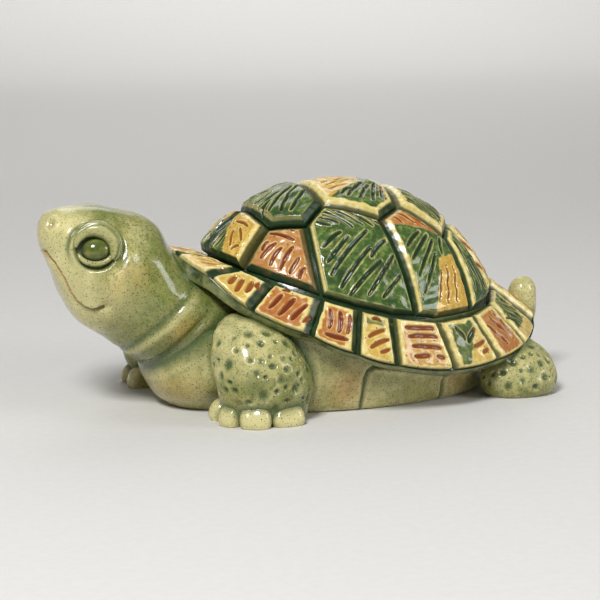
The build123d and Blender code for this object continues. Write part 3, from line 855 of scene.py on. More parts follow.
# Strokes cut one by one: half width, then start and end of each on the face
STROKES = {
    "crown_front": [
        (0.62, [(-7.0, -3.0, 1.0, -1.5), (-6.5, -7.0, 3.5, -3.5), (-5.0, -12.5, 8.0, -3.5)]),
        (0.66, [(-2.0, -15.5, 10.0, -5.0), (1.0, -18.5, 10.2, -10.5), (-8.0, -11.0, -2.0, -7.0)]),
    ],
    "crown_middle": [
        (0.45, [(-11.0, -5.0, -1.0, -2.0), (-11.0, -8.5, 2.0, -3.5), (-11.0, -11.5, -3.0, -8.5)]),
        (0.6, [(-8.0, -16.0, -3.0, -12.0), (-6.0, -18.0, 3.0, -7.0), (-2.0, -20.0, 5.0, -9.0)]),
        (0.6, [(3.0, -21.0, 8.0, -6.5), (7.0, -20.0, 10.0, -8.5), (5.5, -5.0, 9.5, -1.5)]),
    ],
    "crown_rear": [
        (0.55, [(-8.5, -3.5, 6.0, -18.0), (-4.0, -2.0, 8.0, -14.5), (-10.0, -8.0, 2.5, -19.5)]),
        (0.55, [(1.0, -1.5, 9.5, -10.0), (-10.5, -12.5, -2.0, -19.5)]),
    ],
    "neck": [
        (0.45, [(-8.0, -3.0, -6.5, 7.5), (-6.6, -4.0, -5.2, 5.0), (-5.0, -4.5, -3.8, 2.5), (-3.4, -4.5, -2.4, 0.5)]),
        (0.5, [(3.5, -3.0, -0.5, 3.0), (-2.5, 6.5, 4.5, 6.0), (2.0, 4.5, 6.5, 0.0), (5.0, -4.0, 7.0, -1.5)]),
    ],
    "shoulder": [
        (0.62, [(-6.0, 7.5, 2.5, 6.5), (-1.5, 9.8, 1.5, 10.2), (-6.5, 1.0, -5.2, 4.0), (-6.0, -2.0, -2.5, 4.0)]),
        (0.72, [(-2.0, -4.0, -0.3, 2.5), (1.8, -4.5, 3.2, 4.0), (5.2, -5.0, 6.8, 0.5), (9.0, -6.0, 9.8, -2.5)]),
    ],
    "flank": [
        (0.46, [(-12.0, 15.5, -8.0, 13.5), (-11.0, 17.7, -5.0, 14.0), (-9.5, 19.8, -0.5, 12.5)]),
        (0.46, [(-7.5, 21.0, 3.0, 13.2), (-4.8, 21.3, 6.5, 13.4), (-1.5, 20.8, 8.6, 14.2)]),
        (0.68, [(-11.0, 5.5, -4.5, 10.5), (-10.5, 0.0, -2.5, 8.5), (-10.0, -4.5, 4.0, 11.0)]),
        (0.68, [(-7.5, -9.0, 4.5, 5.0), (-4.5, -12.0, 7.5, 0.0), (4.5, 1.5, 10.0, 8.0)]),
        (0.68, [(2.5, -12.0, 12.5, 2.5), (8.0, -13.0, 15.0, -4.5)]),
    ],
    "hip": [
        (0.42, [(-5.5, 20.0, -3.5, 16.0), (-2.5, 21.0, 1.5, 14.0), (0.5, 20.5, 5.5, 11.8), (3.2, 18.0, 8.2, 10.2)]),
        (0.62, [(-7.5, 8.0, 0.5, 11.0), (-8.5, 3.0, 3.0, 8.5), (-9.0, -3.0, 4.5, 6.5), (-9.5, -9.5, 2.0, 2.0)]),
        (0.55, [(5.0, 1.0, 8.2, 6.5), (-4.0, -14.5, 1.5, -4.0), (0.0, -16.0, 5.0, -3.0), (4.5, -16.5, 8.0, -4.0)]),
    ],
    "rear": [
        (0.5, [(-2.5, 13.0, -3.5, 5.5), (0.2, 15.0, 0.4, 6.5), (2.6, 14.5, 3.6, 5.0), (-4.5, 4.0, -6.5, -5.0)]),
        (0.5, [(-1.5, 4.0, -1.8, -6.0), (1.6, 3.5, 2.2, -7.5), (4.6, 3.0, 6.0, -6.5)]),
    ],
    "tail": [
        (0.55, [(-8.5, 14.0, -6.5, 4.0), (-5.0, 14.0, -2.5, 3.0), (-8.0, 0.5, -5.5, -8.0), (-3.5, 0.0, -1.0, -8.5)]),
        (0.5, [(2.5, 13.0, 4.0, 3.0), (6.0, 12.5, 8.0, 2.0), (2.0, -1.0, 4.0, -8.0), (6.5, -2.0, 9.0, -8.0)]),
    ],
    "neck_tile": [
        (0.6, [(-5.0, -4.0, -3.5, 3.0), (-1.8, -4.5, -0.8, 3.8), (1.4, -4.5, 2.0, 3.6), (4.4, -4.0, 4.8, 2.6)]),
    ],
    "tail_tile": [
        (0.65, [(-6.0, -3.5, -2.8, 3.6), (-2.6, -4.5, 0.8, 3.2), (1.4, -4.5, 4.2, 2.6), (5.4, -3.5, 6.8, 0.6)]),
    ],
    "1": [
        (0.6, [(-5.0, -2.8, -2.2, 1.0), (-2.6, -3.2, 0.4, 2.4), (0.4, -3.2, 2.8, 1.4), (3.0, -3.0, 5.2, 0.6)]),
        (0.5, [(-4.6, 2.6, -1.2, 3.6)]),
    ],
    "2": [(1.0, [(-2.4, -3.6, -3.4, 0.2), (1.0, -4.2, -0.6, 0.8), (3.6, -2.4, 1.6, 1.8), (4.8, 1.4, 3.4, 3.2)])],
    "3": [
        (0.85, [(-5.2, -3.6, -3.6, 2.6), (-1.0, -4.2, 1.0, 3.0), (3.2, -4.2, 5.2, 2.4)]),
        (0.8, [(-3.6, 4.4, -1.8, 4.7), (6.8, -4.0, 7.6, -1.8)]),
    ],
    "4": [(0.78, [(-2.8, 3.6, -2.2, -2.2), (0.6, 4.2, 1.2, -2.4), (3.8, 3.8, 4.4, -1.8), (-3.2, -4.9, 4.4, -4.3)])],
    "5": [(0.78, [(-1.8, 5.0, 1.2, 5.3), (-3.0, -0.8, 2.4, 2.2), (-2.6, -4.4, 3.8, -0.4), (1.0, -5.6, 4.2, -3.6)])],
    "6": [
        (0.82, [(-5.2, 4.8, 5.6, 5.2), (-5.0, 1.7, 5.8, 2.0), (-4.4, -1.6, 6.6, -1.4)]),
        (0.82, [(-4.2, -5.0, 1.2, -4.4), (4.2, -4.6, 7.0, -5.2)]),
    ],
    "7": [(0.82, [(-3.6, 5.2, -2.2, 0.6), (-0.8, -0.6, 4.8, 3.2), (1.5, -2.6, 6.6, -1.6), (3.0, -5.6, 6.4, -5.0)])],
    "8": [(0.72, [(-1.0, 5.0, 3.6, -5.6), (-5.2, 3.0, -1.6, -6.0), (2.8, 5.4, 6.6, -4.0)])],
    "9": [(0.62, [(-4.8, 6.0, 1.6, -6.4), (-1.2, 6.4, 5.2, -5.8), (-6.4, 1.0, -2.6, -6.6), (2.6, 6.0, 6.6, -2.0)])],
}


def make_scute(shell, node, corners, zones, strokes, seed, side, bare_and_lit_side, bevel, proud):
    """One carved scute on the dome, standing proud of its true curve by some millimetres."""
    middle = unit(np.mean(corners, axis=0) - shell.centre)
    if side == 0:
        rearward = unit(X_AXIS - middle * middle[0])
        upward = np.cross(middle, rearward)
    else:
        upward = unit(Z_AXIS - middle * middle[2])
        rearward = -side * np.cross(upward, middle)
    reach = np.linalg.norm(shell.hit(middle[None])[0] - shell.centre)
    flat = []
    for corner in corners:
        ray = corner - shell.centre
        ray = ray * reach / (ray @ middle)
        flat.append((ray @ rearward, ray @ upward))
    face = inset_polygon(np.array(flat), mm(sizes().groove) / 2)
    piece, plan = fan_piece("glazed_" + node, face, SCUTE_CUTS)
    bevel = bevel * mm(sizes().scute_bevel)
    height, shares, marks = carve(plan, face, zones, strokes, bevel, seed, bare_and_lit_side)
    ways = middle * reach + plan[:, :1] * rearward + plan[:, 1:] * upward
    base = shell.hit(ways, proud)
    place_points(piece, base + shell.normal(base) * height[:, None])
    paint(piece, "zones", *shares.T)
    paint(piece, "carving", *marks)
    close_border(piece, lambda rim: shell.hit(rim - shell.centre, -SKIRT_DEPTH))
    hand_in(piece, node, "carved_shell_glaze", CARVED_CREASE)


class TURTLE_OT_scutes(bpy.types.Operator):
    """Carve the scutes of the dome"""

    bl_idname = "turtle.scutes"
    bl_label = "Scutes"

    def execute(self, context):
        shell = Shell()

        def crown(names):
            left = [shell.corner(CORNERS[n], -1) for n in names]
            right = [shell.corner(CORNERS[n], 1) for n in reversed(names) if CORNERS[n][1] > 0]
            return np.array(left + right)

        def both(name):
            rows = STROKES[f"crown_{name}"]
            return rows + [(w, [(x0, -y0, x1, -y1) for x0, y0, x1, y1 in cut]) for w, cut in rows]

        left = [shell.corner(CORNERS[n], -1) for n in ("rear_crest", "hip", "tail")]
        right = [shell.corner(CORNERS[n], 1) for n in ("hip", "rear_crest")]
        crowns = {
            "front": (crown(("neck", "shoulder", "front_waist", "front_crest")), 1.15, (-0.45, 0.0, 0.2)),
            "middle": (crown(("front_crest", "flank", "rear_crest")), 1.35, (-0.8, 0.0, 0.5)),
            "rear": (np.array(left + right), 1.35, (-0.4, 0.0, 0.7)),
        }
        for seed, (name, (corners, bevel, bare_and_lit_side)) in enumerate(crowns.items()):
            make_scute(
                shell,
                f"crown_scute_{name}",
                corners,
                CROWN_ZONES[name],
                both(name),
                CROWN_SEED + seed,
                0,
                bare_and_lit_side,
                bevel,
                PROUD.get(name, 0.0),
            )
        for side, hand in ((-1, "left"), (1, "right")):
            at = {name: shell.corner(share, side) for name, share in CORNERS.items()}
            ring = {a: shell.ring_point(side * a) for a in TILE_ANGLES}
            front = (shell.ring_point(NECK) + shell.ring_point(-NECK)) / 2
            back = (shell.ring_point(TAIL) + shell.ring_point(-TAIL)) / 2
            mid = (ring[MID] + ring[REAR]) / 2
            low = shell.ring_point(side * RUMP_ANGLE)
            outlines = {
                "neck": [at["neck"], at["shoulder"], ring[SHOULDER], ring[NECK], front],
                "shoulder": [at["shoulder"], at["front_waist"], ring[WAIST], ring[CHEST], ring[SHOULDER]],
                "flank": [at["front_waist"], at["front_crest"], at["flank"], mid]
                + [ring[MID], ring[FLANK], ring[WAIST]],
                "hip": [at["flank"], at["rear_crest"], at["hip"], ring[HIP], ring[REAR], mid],
                "rear": [at["hip"], at["rump"], low, ring[TAIL_SIDE], ring[HIP]],
                "tail": [at["rump"], at["tail"], back, ring[TAIL], low],
            }
            for seed, (name, corners) in enumerate(outlines.items()):
                slot = "terracotta_glaze" if name in ("shoulder", "tail") else "green_glaze"
                bare_and_lit_side = SIDE_BARE_AND_LIT.get(name, PLAIN_BARE_AND_LIT)
                make_scute(
                    shell,
                    f"side_scute_{name}_{hand}",
                    np.array(corners),
                    SIDE_ZONES[name],
                    STROKES[name],
                    SIDE_SEED + 10 * seed + side,
                    side,
                    bare_and_lit_side,
                    SIDE_BEVELS.get(name, 1.0),
                    PROUD.get(name, 0.0),
                )
        return {"FINISHED"}


class TURTLE_OT_rim_tiles(bpy.types.Operator):
    """Carve the tiles round the rim"""

    bl_idname = "turtle.rim_tiles"
    bl_label = "Rim tiles"

    def execute(self, context):
        shell = Shell()
        total = len(shell.stops) - 1
        per_side = len(TILE_ANGLES) - 1
        glaze = {"1": "ochre", "2": "ochre", "5": "green", "7": "green", "9": "green"}
        for k in range(total):
            if k < per_side:
                name, node, flip = str(k + 1), f"rim_tile_left_{k + 1}", False
            elif k == per_side:
                name, node, flip = "tail_tile", "rim_tile_tail", False
            elif k < total - 1:
                name, node, flip = str(total - 1 - k), f"rim_tile_right_{total - 1 - k}", True
            else:
                name, node, flip = "neck_tile", "rim_tile_neck", False
            slot = glaze.get(name, "terracotta") + "_glaze"
            self.tile(shell, k, TILE_ZONES[name], STROKES[name], node, slot, flip)
        return {"FINISHED"}

    def tile(self, shell, k, zones, strokes, node, slot, flip):
        """One carved rim tile between two stops of the rim."""
        s = sizes()
        total = len(shell.stops) - 1
        piece, u, v = grid_piece("glazed_" + node, TILE_GRID, TILE_GRID)
        mid_in, mid_out, _ = shell.section(np.array([k + 0.5]))
        inner_run = np.linalg.norm(shell.inner[k + 1] - shell.inner[k])
        outer_run = np.linalg.norm(shell.outer[k + 1] - shell.outer[k])
        tall = np.linalg.norm(mid_in - mid_out)
        gap = mm(s.tile_groove)
        over = mm(s.tile_overhang)
        up_share = (v * (tall - gap / 2 + over) - over) / tall
        wide = outer_run + (inner_run - outer_run) * up_share
        station = k + 0.5 + (u - 0.5) * (1 - gap / wide)
        inner, outer, face = shell.section(station)
        base = outer + (inner - outer) * up_share[:, None]
        across = (u - 0.5) * (wide - gap) * (-1 if flip else 1)
        plan = np.stack([across, up_share * tall - tall / 2], axis=1)
        widen = 0.8 if k in (0, 1, 2, total - 2, total - 3, total - 4) else 0.5
        growth = (inner_run - outer_run) / tall
        half_out = (outer_run - growth * over - gap) / 2
        half_in = (inner_run - growth * gap / 2 - gap) / 2
        low, high = -tall / 2 - over, tall / 2 - gap / 2
        corners = np.array([[-half_out, low], [half_out, low], [half_in, high], [-half_in, high]])
        bevel, seed, bare_and_lit_side = mm(s.tile_bevel), TILE_SEED + 3 * k, TILE_BARE_AND_LIT
        height, shares, marks = carve(plan, corners, zones, strokes, bevel, seed, bare_and_lit_side, widen, 0.6)
        away = unit(outer - inner)
        roll = np.clip(1 - (plan[:, 1] - low) / ROLL_START, 0, 1) ** 2
        rolled = face * (height - ROLL_DROP * roll)[:, None] - away * (ROLL_IN * roll)[:, None]
        place_points(piece, base + rolled)
        paint(piece, "zones", *shares.T)
        paint(piece, "carving", *marks)
        middle_face = face.mean(axis=0)
        close_border(piece, lambda rim: rim - middle_face * (SKIRT_DEPTH - mm(s.bevel_drop)))
        hand_in(piece, node, "carved_shell_glaze", CARVED_CREASE)


# Last grid row of each stretch of the carapace, from the apex out and back below
VAULT, SHELF, LIP, UNDERSIDE, UNDER_VAULT = 50, 61, 74, 84, 96
# Depths below the tiles' face, and how far the underside runs in past the ring
GROOVE_FLOOR = TILE_THICKNESS - 0.25
LIP_TOP, LIP_LOW = 1.3, GROOVE_FLOOR + 3.4
UNDERSIDE_REACH = 3


class TURTLE_OT_carapace(bpy.types.Operator):
    """Model the carapace: groove floor, rim lip and underside"""

    bl_idname = "turtle.carapace"
    bl_label = "Carapace"

    def execute(self, context):
        shell = Shell()
        rows = UNDER_VAULT
        piece, u, v = grid_piece("glazed_carapace", 400, rows)
        count = len(shell.stops) - 1
        station = u * count
        inner, outer, face = shell.section(np.clip(station, 0, count - 1e-6))
        away = unit(outer - inner)
        run = np.linalg.norm(outer - inner, axis=1)
        apex = shell.centre + Z_AXIS * shell.radii[2]
        row = np.round(v * rows).astype(int)
        points = np.zeros((len(u), 3))
        lip = np.zeros(len(u))
        under = np.zeros(len(u))
        for r in range(rows + 1):
            here = row == r
            if r <= VAULT:
                share = (r / VAULT) ** 0.8
                plan = apex + (inner[here] - apex) * share
                ways = plan - shell.centre
                points[here] = shell.hit(ways, -GROOVE_FLOOR)
                continue
            if r <= SHELF:
                share = (r - VAULT) / (SHELF - VAULT)
                out = away[here] * ((run[here] + 0.1) * share)[:, None]
                points[here] = inner[here] - face[here] * GROOVE_FLOOR + out
                continue
            if r <= LIP:
                share = (r - SHELF - 1) / (LIP - SHELF - 1)
                turn = pi * share
                down = LIP_TOP + (LIP_LOW - LIP_TOP) * (1 - cos(turn)) / 2
                bulge = away[here] * (run[here] + 0.25 + 0.5 * sin(turn))[:, None]
                points[here] = inner[here] - face[here] * down + bulge
                lip[here] = sin(turn) ** 0.6
                under[here] = smooth_step(0.2, 0.8, share)
                continue
            if r <= UNDERSIDE:
                share = 1 - (r - LIP) / (UNDERSIDE - LIP)
                back = (run[here] * share - UNDERSIDE_REACH * (1 - share))[:, None]
                points[here] = inner[here] - face[here] * LIP_LOW + away[here] * back
                under[here] = 1
                continue
            share = 1 - (r - UNDERSIDE) / (UNDER_VAULT - UNDERSIDE)
            edge = inner[here] - face[here] * LIP_LOW - away[here] * UNDERSIDE_REACH
            ways = (edge - shell.centre) * share + Z_AXIS * (shell.radii[2] * (1 - share))
            points[here] = shell.hit(ways, -LIP_LOW - 2.5) * (1 - share) + edge * share
        place_points(piece, points)
        paint(piece, "wash", lip, under, 0)
        join_seam(piece)
        hand_in(piece, "carapace", "pooled_groove_glaze", CARVED_CREASE)
        return {"FINISHED"}


# Body, head and limbs

PIT_TRIES, PIT_SPACING = 40, 1.12


def pit_field(points, normals, count, radius, seed, allow):
    """Depth of round pits pressed into a surface, 0 to 1."""
    draw = np.random.default_rng(seed + sizes().seed * 10)
    chance = allow(points, normals)
    depth = np.zeros(len(points))
    places = []
    tries = 0
    while len(places) < count and tries < count * PIT_TRIES:
        tries += 1
        k = draw.integers(len(points))
        size = draw.uniform(*radius)
        if draw.uniform() > chance[k]:
            continue
        if any(np.linalg.norm(points[k] - p) < (size + other) * PIT_SPACING for p, other in places):
            continue
        places.append((points[k], size))
        stretch = np.array([1, 1, draw.uniform(0.7, 1.3)])
        gap = np.linalg.norm((points - points[k]) * stretch, axis=1) / size
        depth = np.maximum(depth, np.clip(1 - gap**2, 0, 1) ** 1.3 * draw.uniform(0.6, 1.0))
    return depth


def wrap_level(piece, u, v, stations):
    """Wrap a grid round level ovals (knot, x, y, height, half length, half width)."""
    knots = [row[0] for row in stations]
    at = v * knots[-1]
    x, y, z, a, b = (through(knots, [row[k] for row in stations], at) for k in range(1, 6))
    turn = 2 * pi * u
    a, b = np.clip(a, 0, None), np.clip(b, 0, None)
    points = np.stack([x + a * np.cos(turn), y + b * np.sin(turn), np.clip(z, 0, None)], axis=1)
    place_points(piece, points)
    return points


BOWL_X, BOWL_TOP = 12, 31.0
# The chest is an egg ahead of the bowl: place, height, half length and half width, and how
# far it falls and rises from its widest level
CHEST_AHEAD, CHEST_Z = 50.0, 16
CHEST_HALF = (19.0, 25.5)
CHEST_FALL, CHEST_RISE = 18.5, 21.0
CHEST_BLEND = 3.0


class TURTLE_OT_lower_body(bpy.types.Operator):
    """Model the bowl of the body with its side panels and chest"""

    bl_idname = "turtle.lower_body"
    bl_label = "Lower body"

    base: FloatVectorProperty(
        name="Base",
        description="Half length and half width of the base",
        size=2,
        default=(0.058, 0.033),
        unit="LENGTH",
    )

    # Grooves that bound the side panels, as x and height
    panels = (
        ((10.0, -2.0), (10.0, 12.0), (10.6, 14.6), (12.5, 16.2), (20.0, 15.2), (30.0, 12.8), (41.0, 10.2)),
        ((40.8, -2.0), (41.2, 7.5), (42.0, 9.4), (44.0, 10.4), (58.0, 9.2)),
    )

    def execute(self, context):
        piece, u, v = grid_piece("glazed_lower_body", 640, 80)
        height = v * BOWL_TOP
        turn = 2 * pi * u
        rise = np.clip(height / 28, 0, 1.1)
        centre_x = BOWL_X + 2 * rise
        edge = 1.2 * np.clip(1 - height / 1.6, 0, 1) ** 2
        belly = 0.9 * np.sin(pi * np.clip(rise, 0, 1))
        a = mm(self.base[0]) - 2.5 * rise - edge + belly
        b = mm(self.base[1]) + 8.5 * rise - edge + belly
        x = centre_x + a * np.cos(turn)
        y = b * np.sin(turn)
        side = np.abs(np.sin(turn))
        on_side = side > 0.15
        flat = np.stack([x, height], axis=1)
        groove = np.zeros(len(u))
        swell = np.zeros(len(u))
        for outline in self.panels:
            gap, _ = to_path(flat, outline)
            groove = np.maximum(groove, np.clip(1 - (gap / 0.9) ** 2, 0, 1))
            swell = np.maximum(swell, bell(gap, 1.7, 0.8))
        groove = groove * on_side
        swell = swell * on_side * (1 - groove)
        push = (0.4 * swell - 1.0 * groove) * smooth_step(0.0, 2.5, height)
        way = unit(np.stack([x - BOWL_X, y], axis=1))
        reach = np.hypot(x - BOWL_X, y) + push
        chest = self.chest_reach(way, height)
        near = np.clip(CHEST_BLEND - np.abs(reach - chest), 0, CHEST_BLEND)
        reach = np.maximum(reach, chest) + near**2 / (4 * CHEST_BLEND)
        points = np.stack([BOWL_X + way[:, 0] * reach, way[:, 1] * reach, height], axis=1)
        points[:, :2] += way * (0.25 * wobble(points, 14.0, 31))[:, None] * smooth_step(0, 3, height)[:, None]
        place_points(piece, points)
        warm = spot(points[:, 0], height, (4, 9), (6, 7)) * (side > 0.3)
        rear_warm = spot(points[:, 0], height, (47, 6), (5, 6)) * (side > 0.2)
        chest_warm = spot(points[:, 0], height, (-50, 9), (8, 6))
        # Painted light on the front part of the middle side panel.
        panel = spot(points[:, 0], height, (16, 6), (7, 5)) * (side > 0.2)
        # Pale: painted highlights on the swells beside the panel grooves and painted light on the middle panel, over
        # a paler foot and a pale base.
        pale = np.maximum(0.45 * swell, 0.5 * smooth_step(2.0, 0.4, height))
        pale = 0.2 + 0.8 * np.maximum(pale, 0.5 * panel)
        paint(piece, "wash", 0.9 * groove, 0.7 * chest_warm + 0.35 * warm, pale)
        by_leg = 0.7 * spot(points[:, 0], height, (-37, 8), (5, 8)) * (side > 0.2)
        shaded = np.maximum(by_leg, 0.8 * smooth_step(12.0, 20.0, height))
        paint(piece, "tint", 0.95 * warm + 0.85 * rear_warm, shaded, 0)
        join_seam(piece)
        hand_in(piece, "lower_body", "celadon_body_glaze", BOWL_CREASE)
        return {"FINISHED"}

    def chest_reach(self, ray, height):
        """How far the chest egg reaches from the bowl's middle along level rays."""
        low = ((height - CHEST_Z) / CHEST_FALL) ** 2
        high = ((height - CHEST_Z) / CHEST_RISE) ** 4
        level = np.clip(1 - np.where(height < CHEST_Z, low, high), 1e-6, 1)
        half = np.stack([CHEST_HALF[0] * np.sqrt(level), CHEST_HALF[1] * np.sqrt(level)], axis=1)
        d = ray / half
        c = np.array([CHEST_AHEAD, 0.0]) / half
        aa = (d * d).sum(axis=1)
        bb = (d * c).sum(axis=1)
        cc = (c * c).sum(axis=1) - 1
        under_root = bb * bb - aa * cc
        return np.where(under_root > 0, (-bb + np.sqrt(np.clip(under_root, 0, None))) / aa, 0.0)


EYE = {"x": -76.2, "z": 57.2, "out": 15.9, "turn": 14.0, "tilt": 18.0}
# Half length, half height and half depth of an eyeball
EYEBALL = np.array([4.9, 3.8, 3.3])


def eye_frame(side):
    """Middle of an eye, and the ways rearward, upward and out of the head."""
    turn, tilt = radians(EYE["turn"]), radians(EYE["tilt"])
    out = np.array([-sin(turn) * cos(tilt), side * cos(turn) * cos(tilt), sin(tilt)])
    rearward = unit(X_AXIS - out * out[0])
    rearward = unit(rearward - Z_AXIS * rearward[2] * 0.5)
    rearward = unit(rearward - out * (rearward @ out))
    upward = np.cross(out, rearward) * -side
    return np.array([EYE["x"], side * EYE["out"], EYE["z"]]), rearward, upward, out


class TURTLE_OT_head(bpy.types.Operator):
    """Model the head and neck with mouth, nostrils, eye sockets and neck folds"""

    bl_idname = "turtle.head"
    bl_label = "Head and neck"

    # x, height, pitch, half height and half width of the oval sections
    sections = (
        (-30.0, 26.0, 8.0, 18.5, 23.0),
        (-41.0, 29.5, 11.0, 19.6, 23.6),
        (-51.5, 34.0, 14.0, 20.5, 22.8),
        (-60.2, 43.0, 21.0, 21.2, 20.8),
        (-68.0, 47.9, 22.4, 21.0, 20.0),
        (-76.2, 52.3, 20.5, 17.9, 18.3),
        (-83.2, 57.0, 14.6, 12.9, 13.8),
        (-87.6, 60.0, 10.0, 8.4, 9.2),
        (-90.0, 61.2, 8.5, 5.0, 5.6),
        (-91.1, 61.6, 8.0, 2.4, 2.7),
        (-91.4, 61.7, 8.0, 0.0, 0.0),
    )
    mouth = (
        (-90.0, 55.2), (-87.6, 52.2), (-84.9, 46.8), (-83.4, 42.6), (-81.8, 39.7),
        (-79.4, 37.6), (-77.2, 36.8), (-75.6, 37.1), (-74.4, 37.6),
    )
    folds = (
        ((-64.5, 21.5), (-60.6, 27.0), (-53.8, 33.7), (-47.0, 40.0), (-41.0, 47.0)),
        ((-57.5, 16.0), (-51.4, 23.5), (-48.0, 27.1), (-42.5, 32.5), (-37.5, 39.0)),
    )

    def execute(self, context):
        piece, u, v = grid_piece("glazed_head_and_neck", 260, 230)
        rows = self.sections
        knots = knots_along(rows, 1.2)
        at = v * knots[-1]
        x, z, pitch, tall, wide = (through(knots, [row[k] for row in rows], at) for k in range(5))
        tall, wide = np.clip(tall, 0, None), np.clip(wide, 0, None)
        pitch = np.radians(pitch)
        turn = 2 * pi * u - pi / 2
        lift = tall * np.sin(turn)
        points = np.stack([x + lift * np.sin(pitch), wide * np.cos(turn), z + lift * np.cos(pitch)], axis=1)
        place_points(piece, points)
        normals = outward(normals_of(piece), points - np.stack([x, 0 * x, z], axis=1))
        plan = points[:, [0, 2]]
        push = 0.22 * wobble(points, 16.0, 41)
        gap, along = to_path(plan, self.mouth)
        gap = gap / self.lean(plan, normals, gap)
        ends = 0.75 + 0.25 * smooth_step(0.05, 0.5, along)
        slit = np.clip(1 - (gap / 0.85) ** 2, 0, 1)
        below = self.under_mouth(plan)
        near = bell(gap, 0, 3.2) * smooth_step(1.02, 0.9, along) * smooth_step(0.0, 0.12, along)
        push += -1.4 * slit * ends + near * np.where(below, -0.55, 0.55)
        corner = spot(*plan.T, (-73.4, 38.1), (1.7, 1.7))
        cheek = spot(*plan.T, (-69.0, 43.0), (6.5, 6.5))
        push += 0.9 * (cheek - corner) * (np.abs(points[:, 1]) > 6)
        crease = np.zeros(len(u))
        ridge = np.zeros(len(u))
        for fold, depth in zip(self.folds, (0.6, 0.9)):
            gap_fold, way_up = to_path(plan, fold)
            fade = smooth_step(1.0, 0.6, way_up)
            line = np.interp(plan[:, 0], [p[0] for p in fold], [p[1] for p in fold])
            crest = bell(gap_fold, 2.2, 1.3) * (plan[:, 1] < line) * fade
            push += -depth * fade * bell(gap_fold, 0, 1.2) + 0.25 * crest
            crease = np.maximum(crease, fade * bell(gap_fold, 0, 1.3))
            ridge = np.maximum(ridge, crest)
        pits = np.zeros(len(u))
        rim = np.zeros(len(u))
        for side in (-1, 1):
            hole = np.array([-88.2, side * 5.4, 64.3])
            away = points - hole
            gap_hole = np.linalg.norm(away / np.array([1.5, 1.7, 2.2]), axis=1)
            pit = np.clip(1 - gap_hole**2, 0, 1)
            push += -1.2 * pit + 0.4 * bell(gap_hole, 1.4, 0.5)
            pits = np.maximum(pits, pit)
        points = points + normals * push[:, None]
        for side in (-1, 1):
            middle, rearward, upward, out = eye_frame(side)
            away = points - middle
            across, up_way, depth = away @ rearward, away @ upward, away @ out
            radius = np.hypot(across, up_way)
            front = (depth > -9) & (radius < 18)
            inside = smooth_step(8.0, 6.0, radius) * front
            points = points + out * (inside * (-1.4 - depth))[:, None]
            bearing = np.arctan2(up_way, across)
            brow = np.clip(-0.6 - 0.75 * (radius - 9.0) - depth, 0, None) * smooth_step(7.0, 9.0, radius)
            brow = brow * smooth_step(17.5, 13.0, radius) * smooth_step(-0.1, 0.5, np.sin(bearing)) * front
            ditch = bell(radius, 9.0, 0.7) * smooth_step(-0.8, 0.3, np.sin(bearing)) * front
            bag = bell(radius, 12.2, 1.6) * bell(bearing, -0.55, 0.75) * front
            points = points + out * (brow - 0.8 * ditch + 0.7 * bag)[:, None]
            rim = np.maximum(rim, np.maximum(ditch, inside))
        place_points(piece, points)
        self.colour(piece, points, slit * ends, below, gap, pits, rim, crease, ridge)
        join_seam(piece)
        hand_in(piece, "head_and_neck", "celadon_body_glaze", BODY_CREASE)
        return {"FINISHED"}

    def lean(self, plan, normals, gap):
        """Share of a step along the skin that leads away from the mouth line, seen from the side."""
        step = 0.05
        across = (to_path(plan + np.array([step, 0.0]), self.mouth)[0] - gap) / step
        upward = (to_path(plan + np.array([0.0, step]), self.mouth)[0] - gap) / step
        into = across * normals[:, 0] + upward * normals[:, 2]
        return np.sqrt(np.clip(1 - into**2, 0.04, 1))

    def under_mouth(self, plan):
        """Whether points lie on the jaw's side of the mouth line."""
        path = np.asarray(self.mouth)
        line = np.interp(plan[:, 0], path[:7, 0], path[:7, 1])
        return plan[:, 1] < line

    def colour(self, piece, points, slit, below, gap, pits, rim, crease, ridge):
        """Paint the head: dark slit, pits and creases, warm cheek and collar, pale snout, and painted highlights on
        the neck's fold ridges.
        """
        x, _, z = points.T
        back = smooth_step(-72.0, -57.0, x - 0.25 * (z - 45)) * 0.9 * (1 - 0.6 * ridge)
        first = np.interp(x, [p[0] for p in self.folds[0]], [p[1] for p in self.folds[0]])
        back = np.maximum(back, 0.95 * smooth_step(2.5, 6.0, first - z) * (1 - 0.6 * ridge))
        crown = smooth_step(60.0, 69.0, z) * smooth_step(-86.0, -70.0, x) * 0.75
        # The neck's fold ridges are painted pale as painted highlights.
        pale = smooth_step(-71.0, -86.0, x) * 0.8 + 0.5 * ridge + 0.35 * spot(x, z, (-78, 34), (9, 7))
        pale = np.clip(pale + 0.5 * spot(x, z, (-72, 41), (8, 8)), 0, 1)
        cheek = spot(x, z, (-71.5, 43), (4, 4.5))
        cheek += 0.8 * spot(x, z, (-65, 47), (5, 5))
        collar = spot(x, z, (-47, 28), (5, 5))
        nose = spot(x, z, (-88, 64), (3, 4))
        lip_line = bell(gap, 0.9, 0.5) * below * smooth_step(-79.0, -83.0, x)
        pooled = np.maximum(0.92 * slit, np.maximum(0.4 * pits, 0.8 * rim))
        pooled = np.maximum(pooled, 0.5 * crease)
        flushed = 0.6 * cheek + collar + 0.3 * nose + 0.8 * pits
        ring = np.maximum(0.8 * lip_line * (1 - slit), 0.15 * slit)
        paint(piece, "wash", pooled, flushed, pale)
        paint(piece, "tint", 0, np.maximum(back, crown), ring)


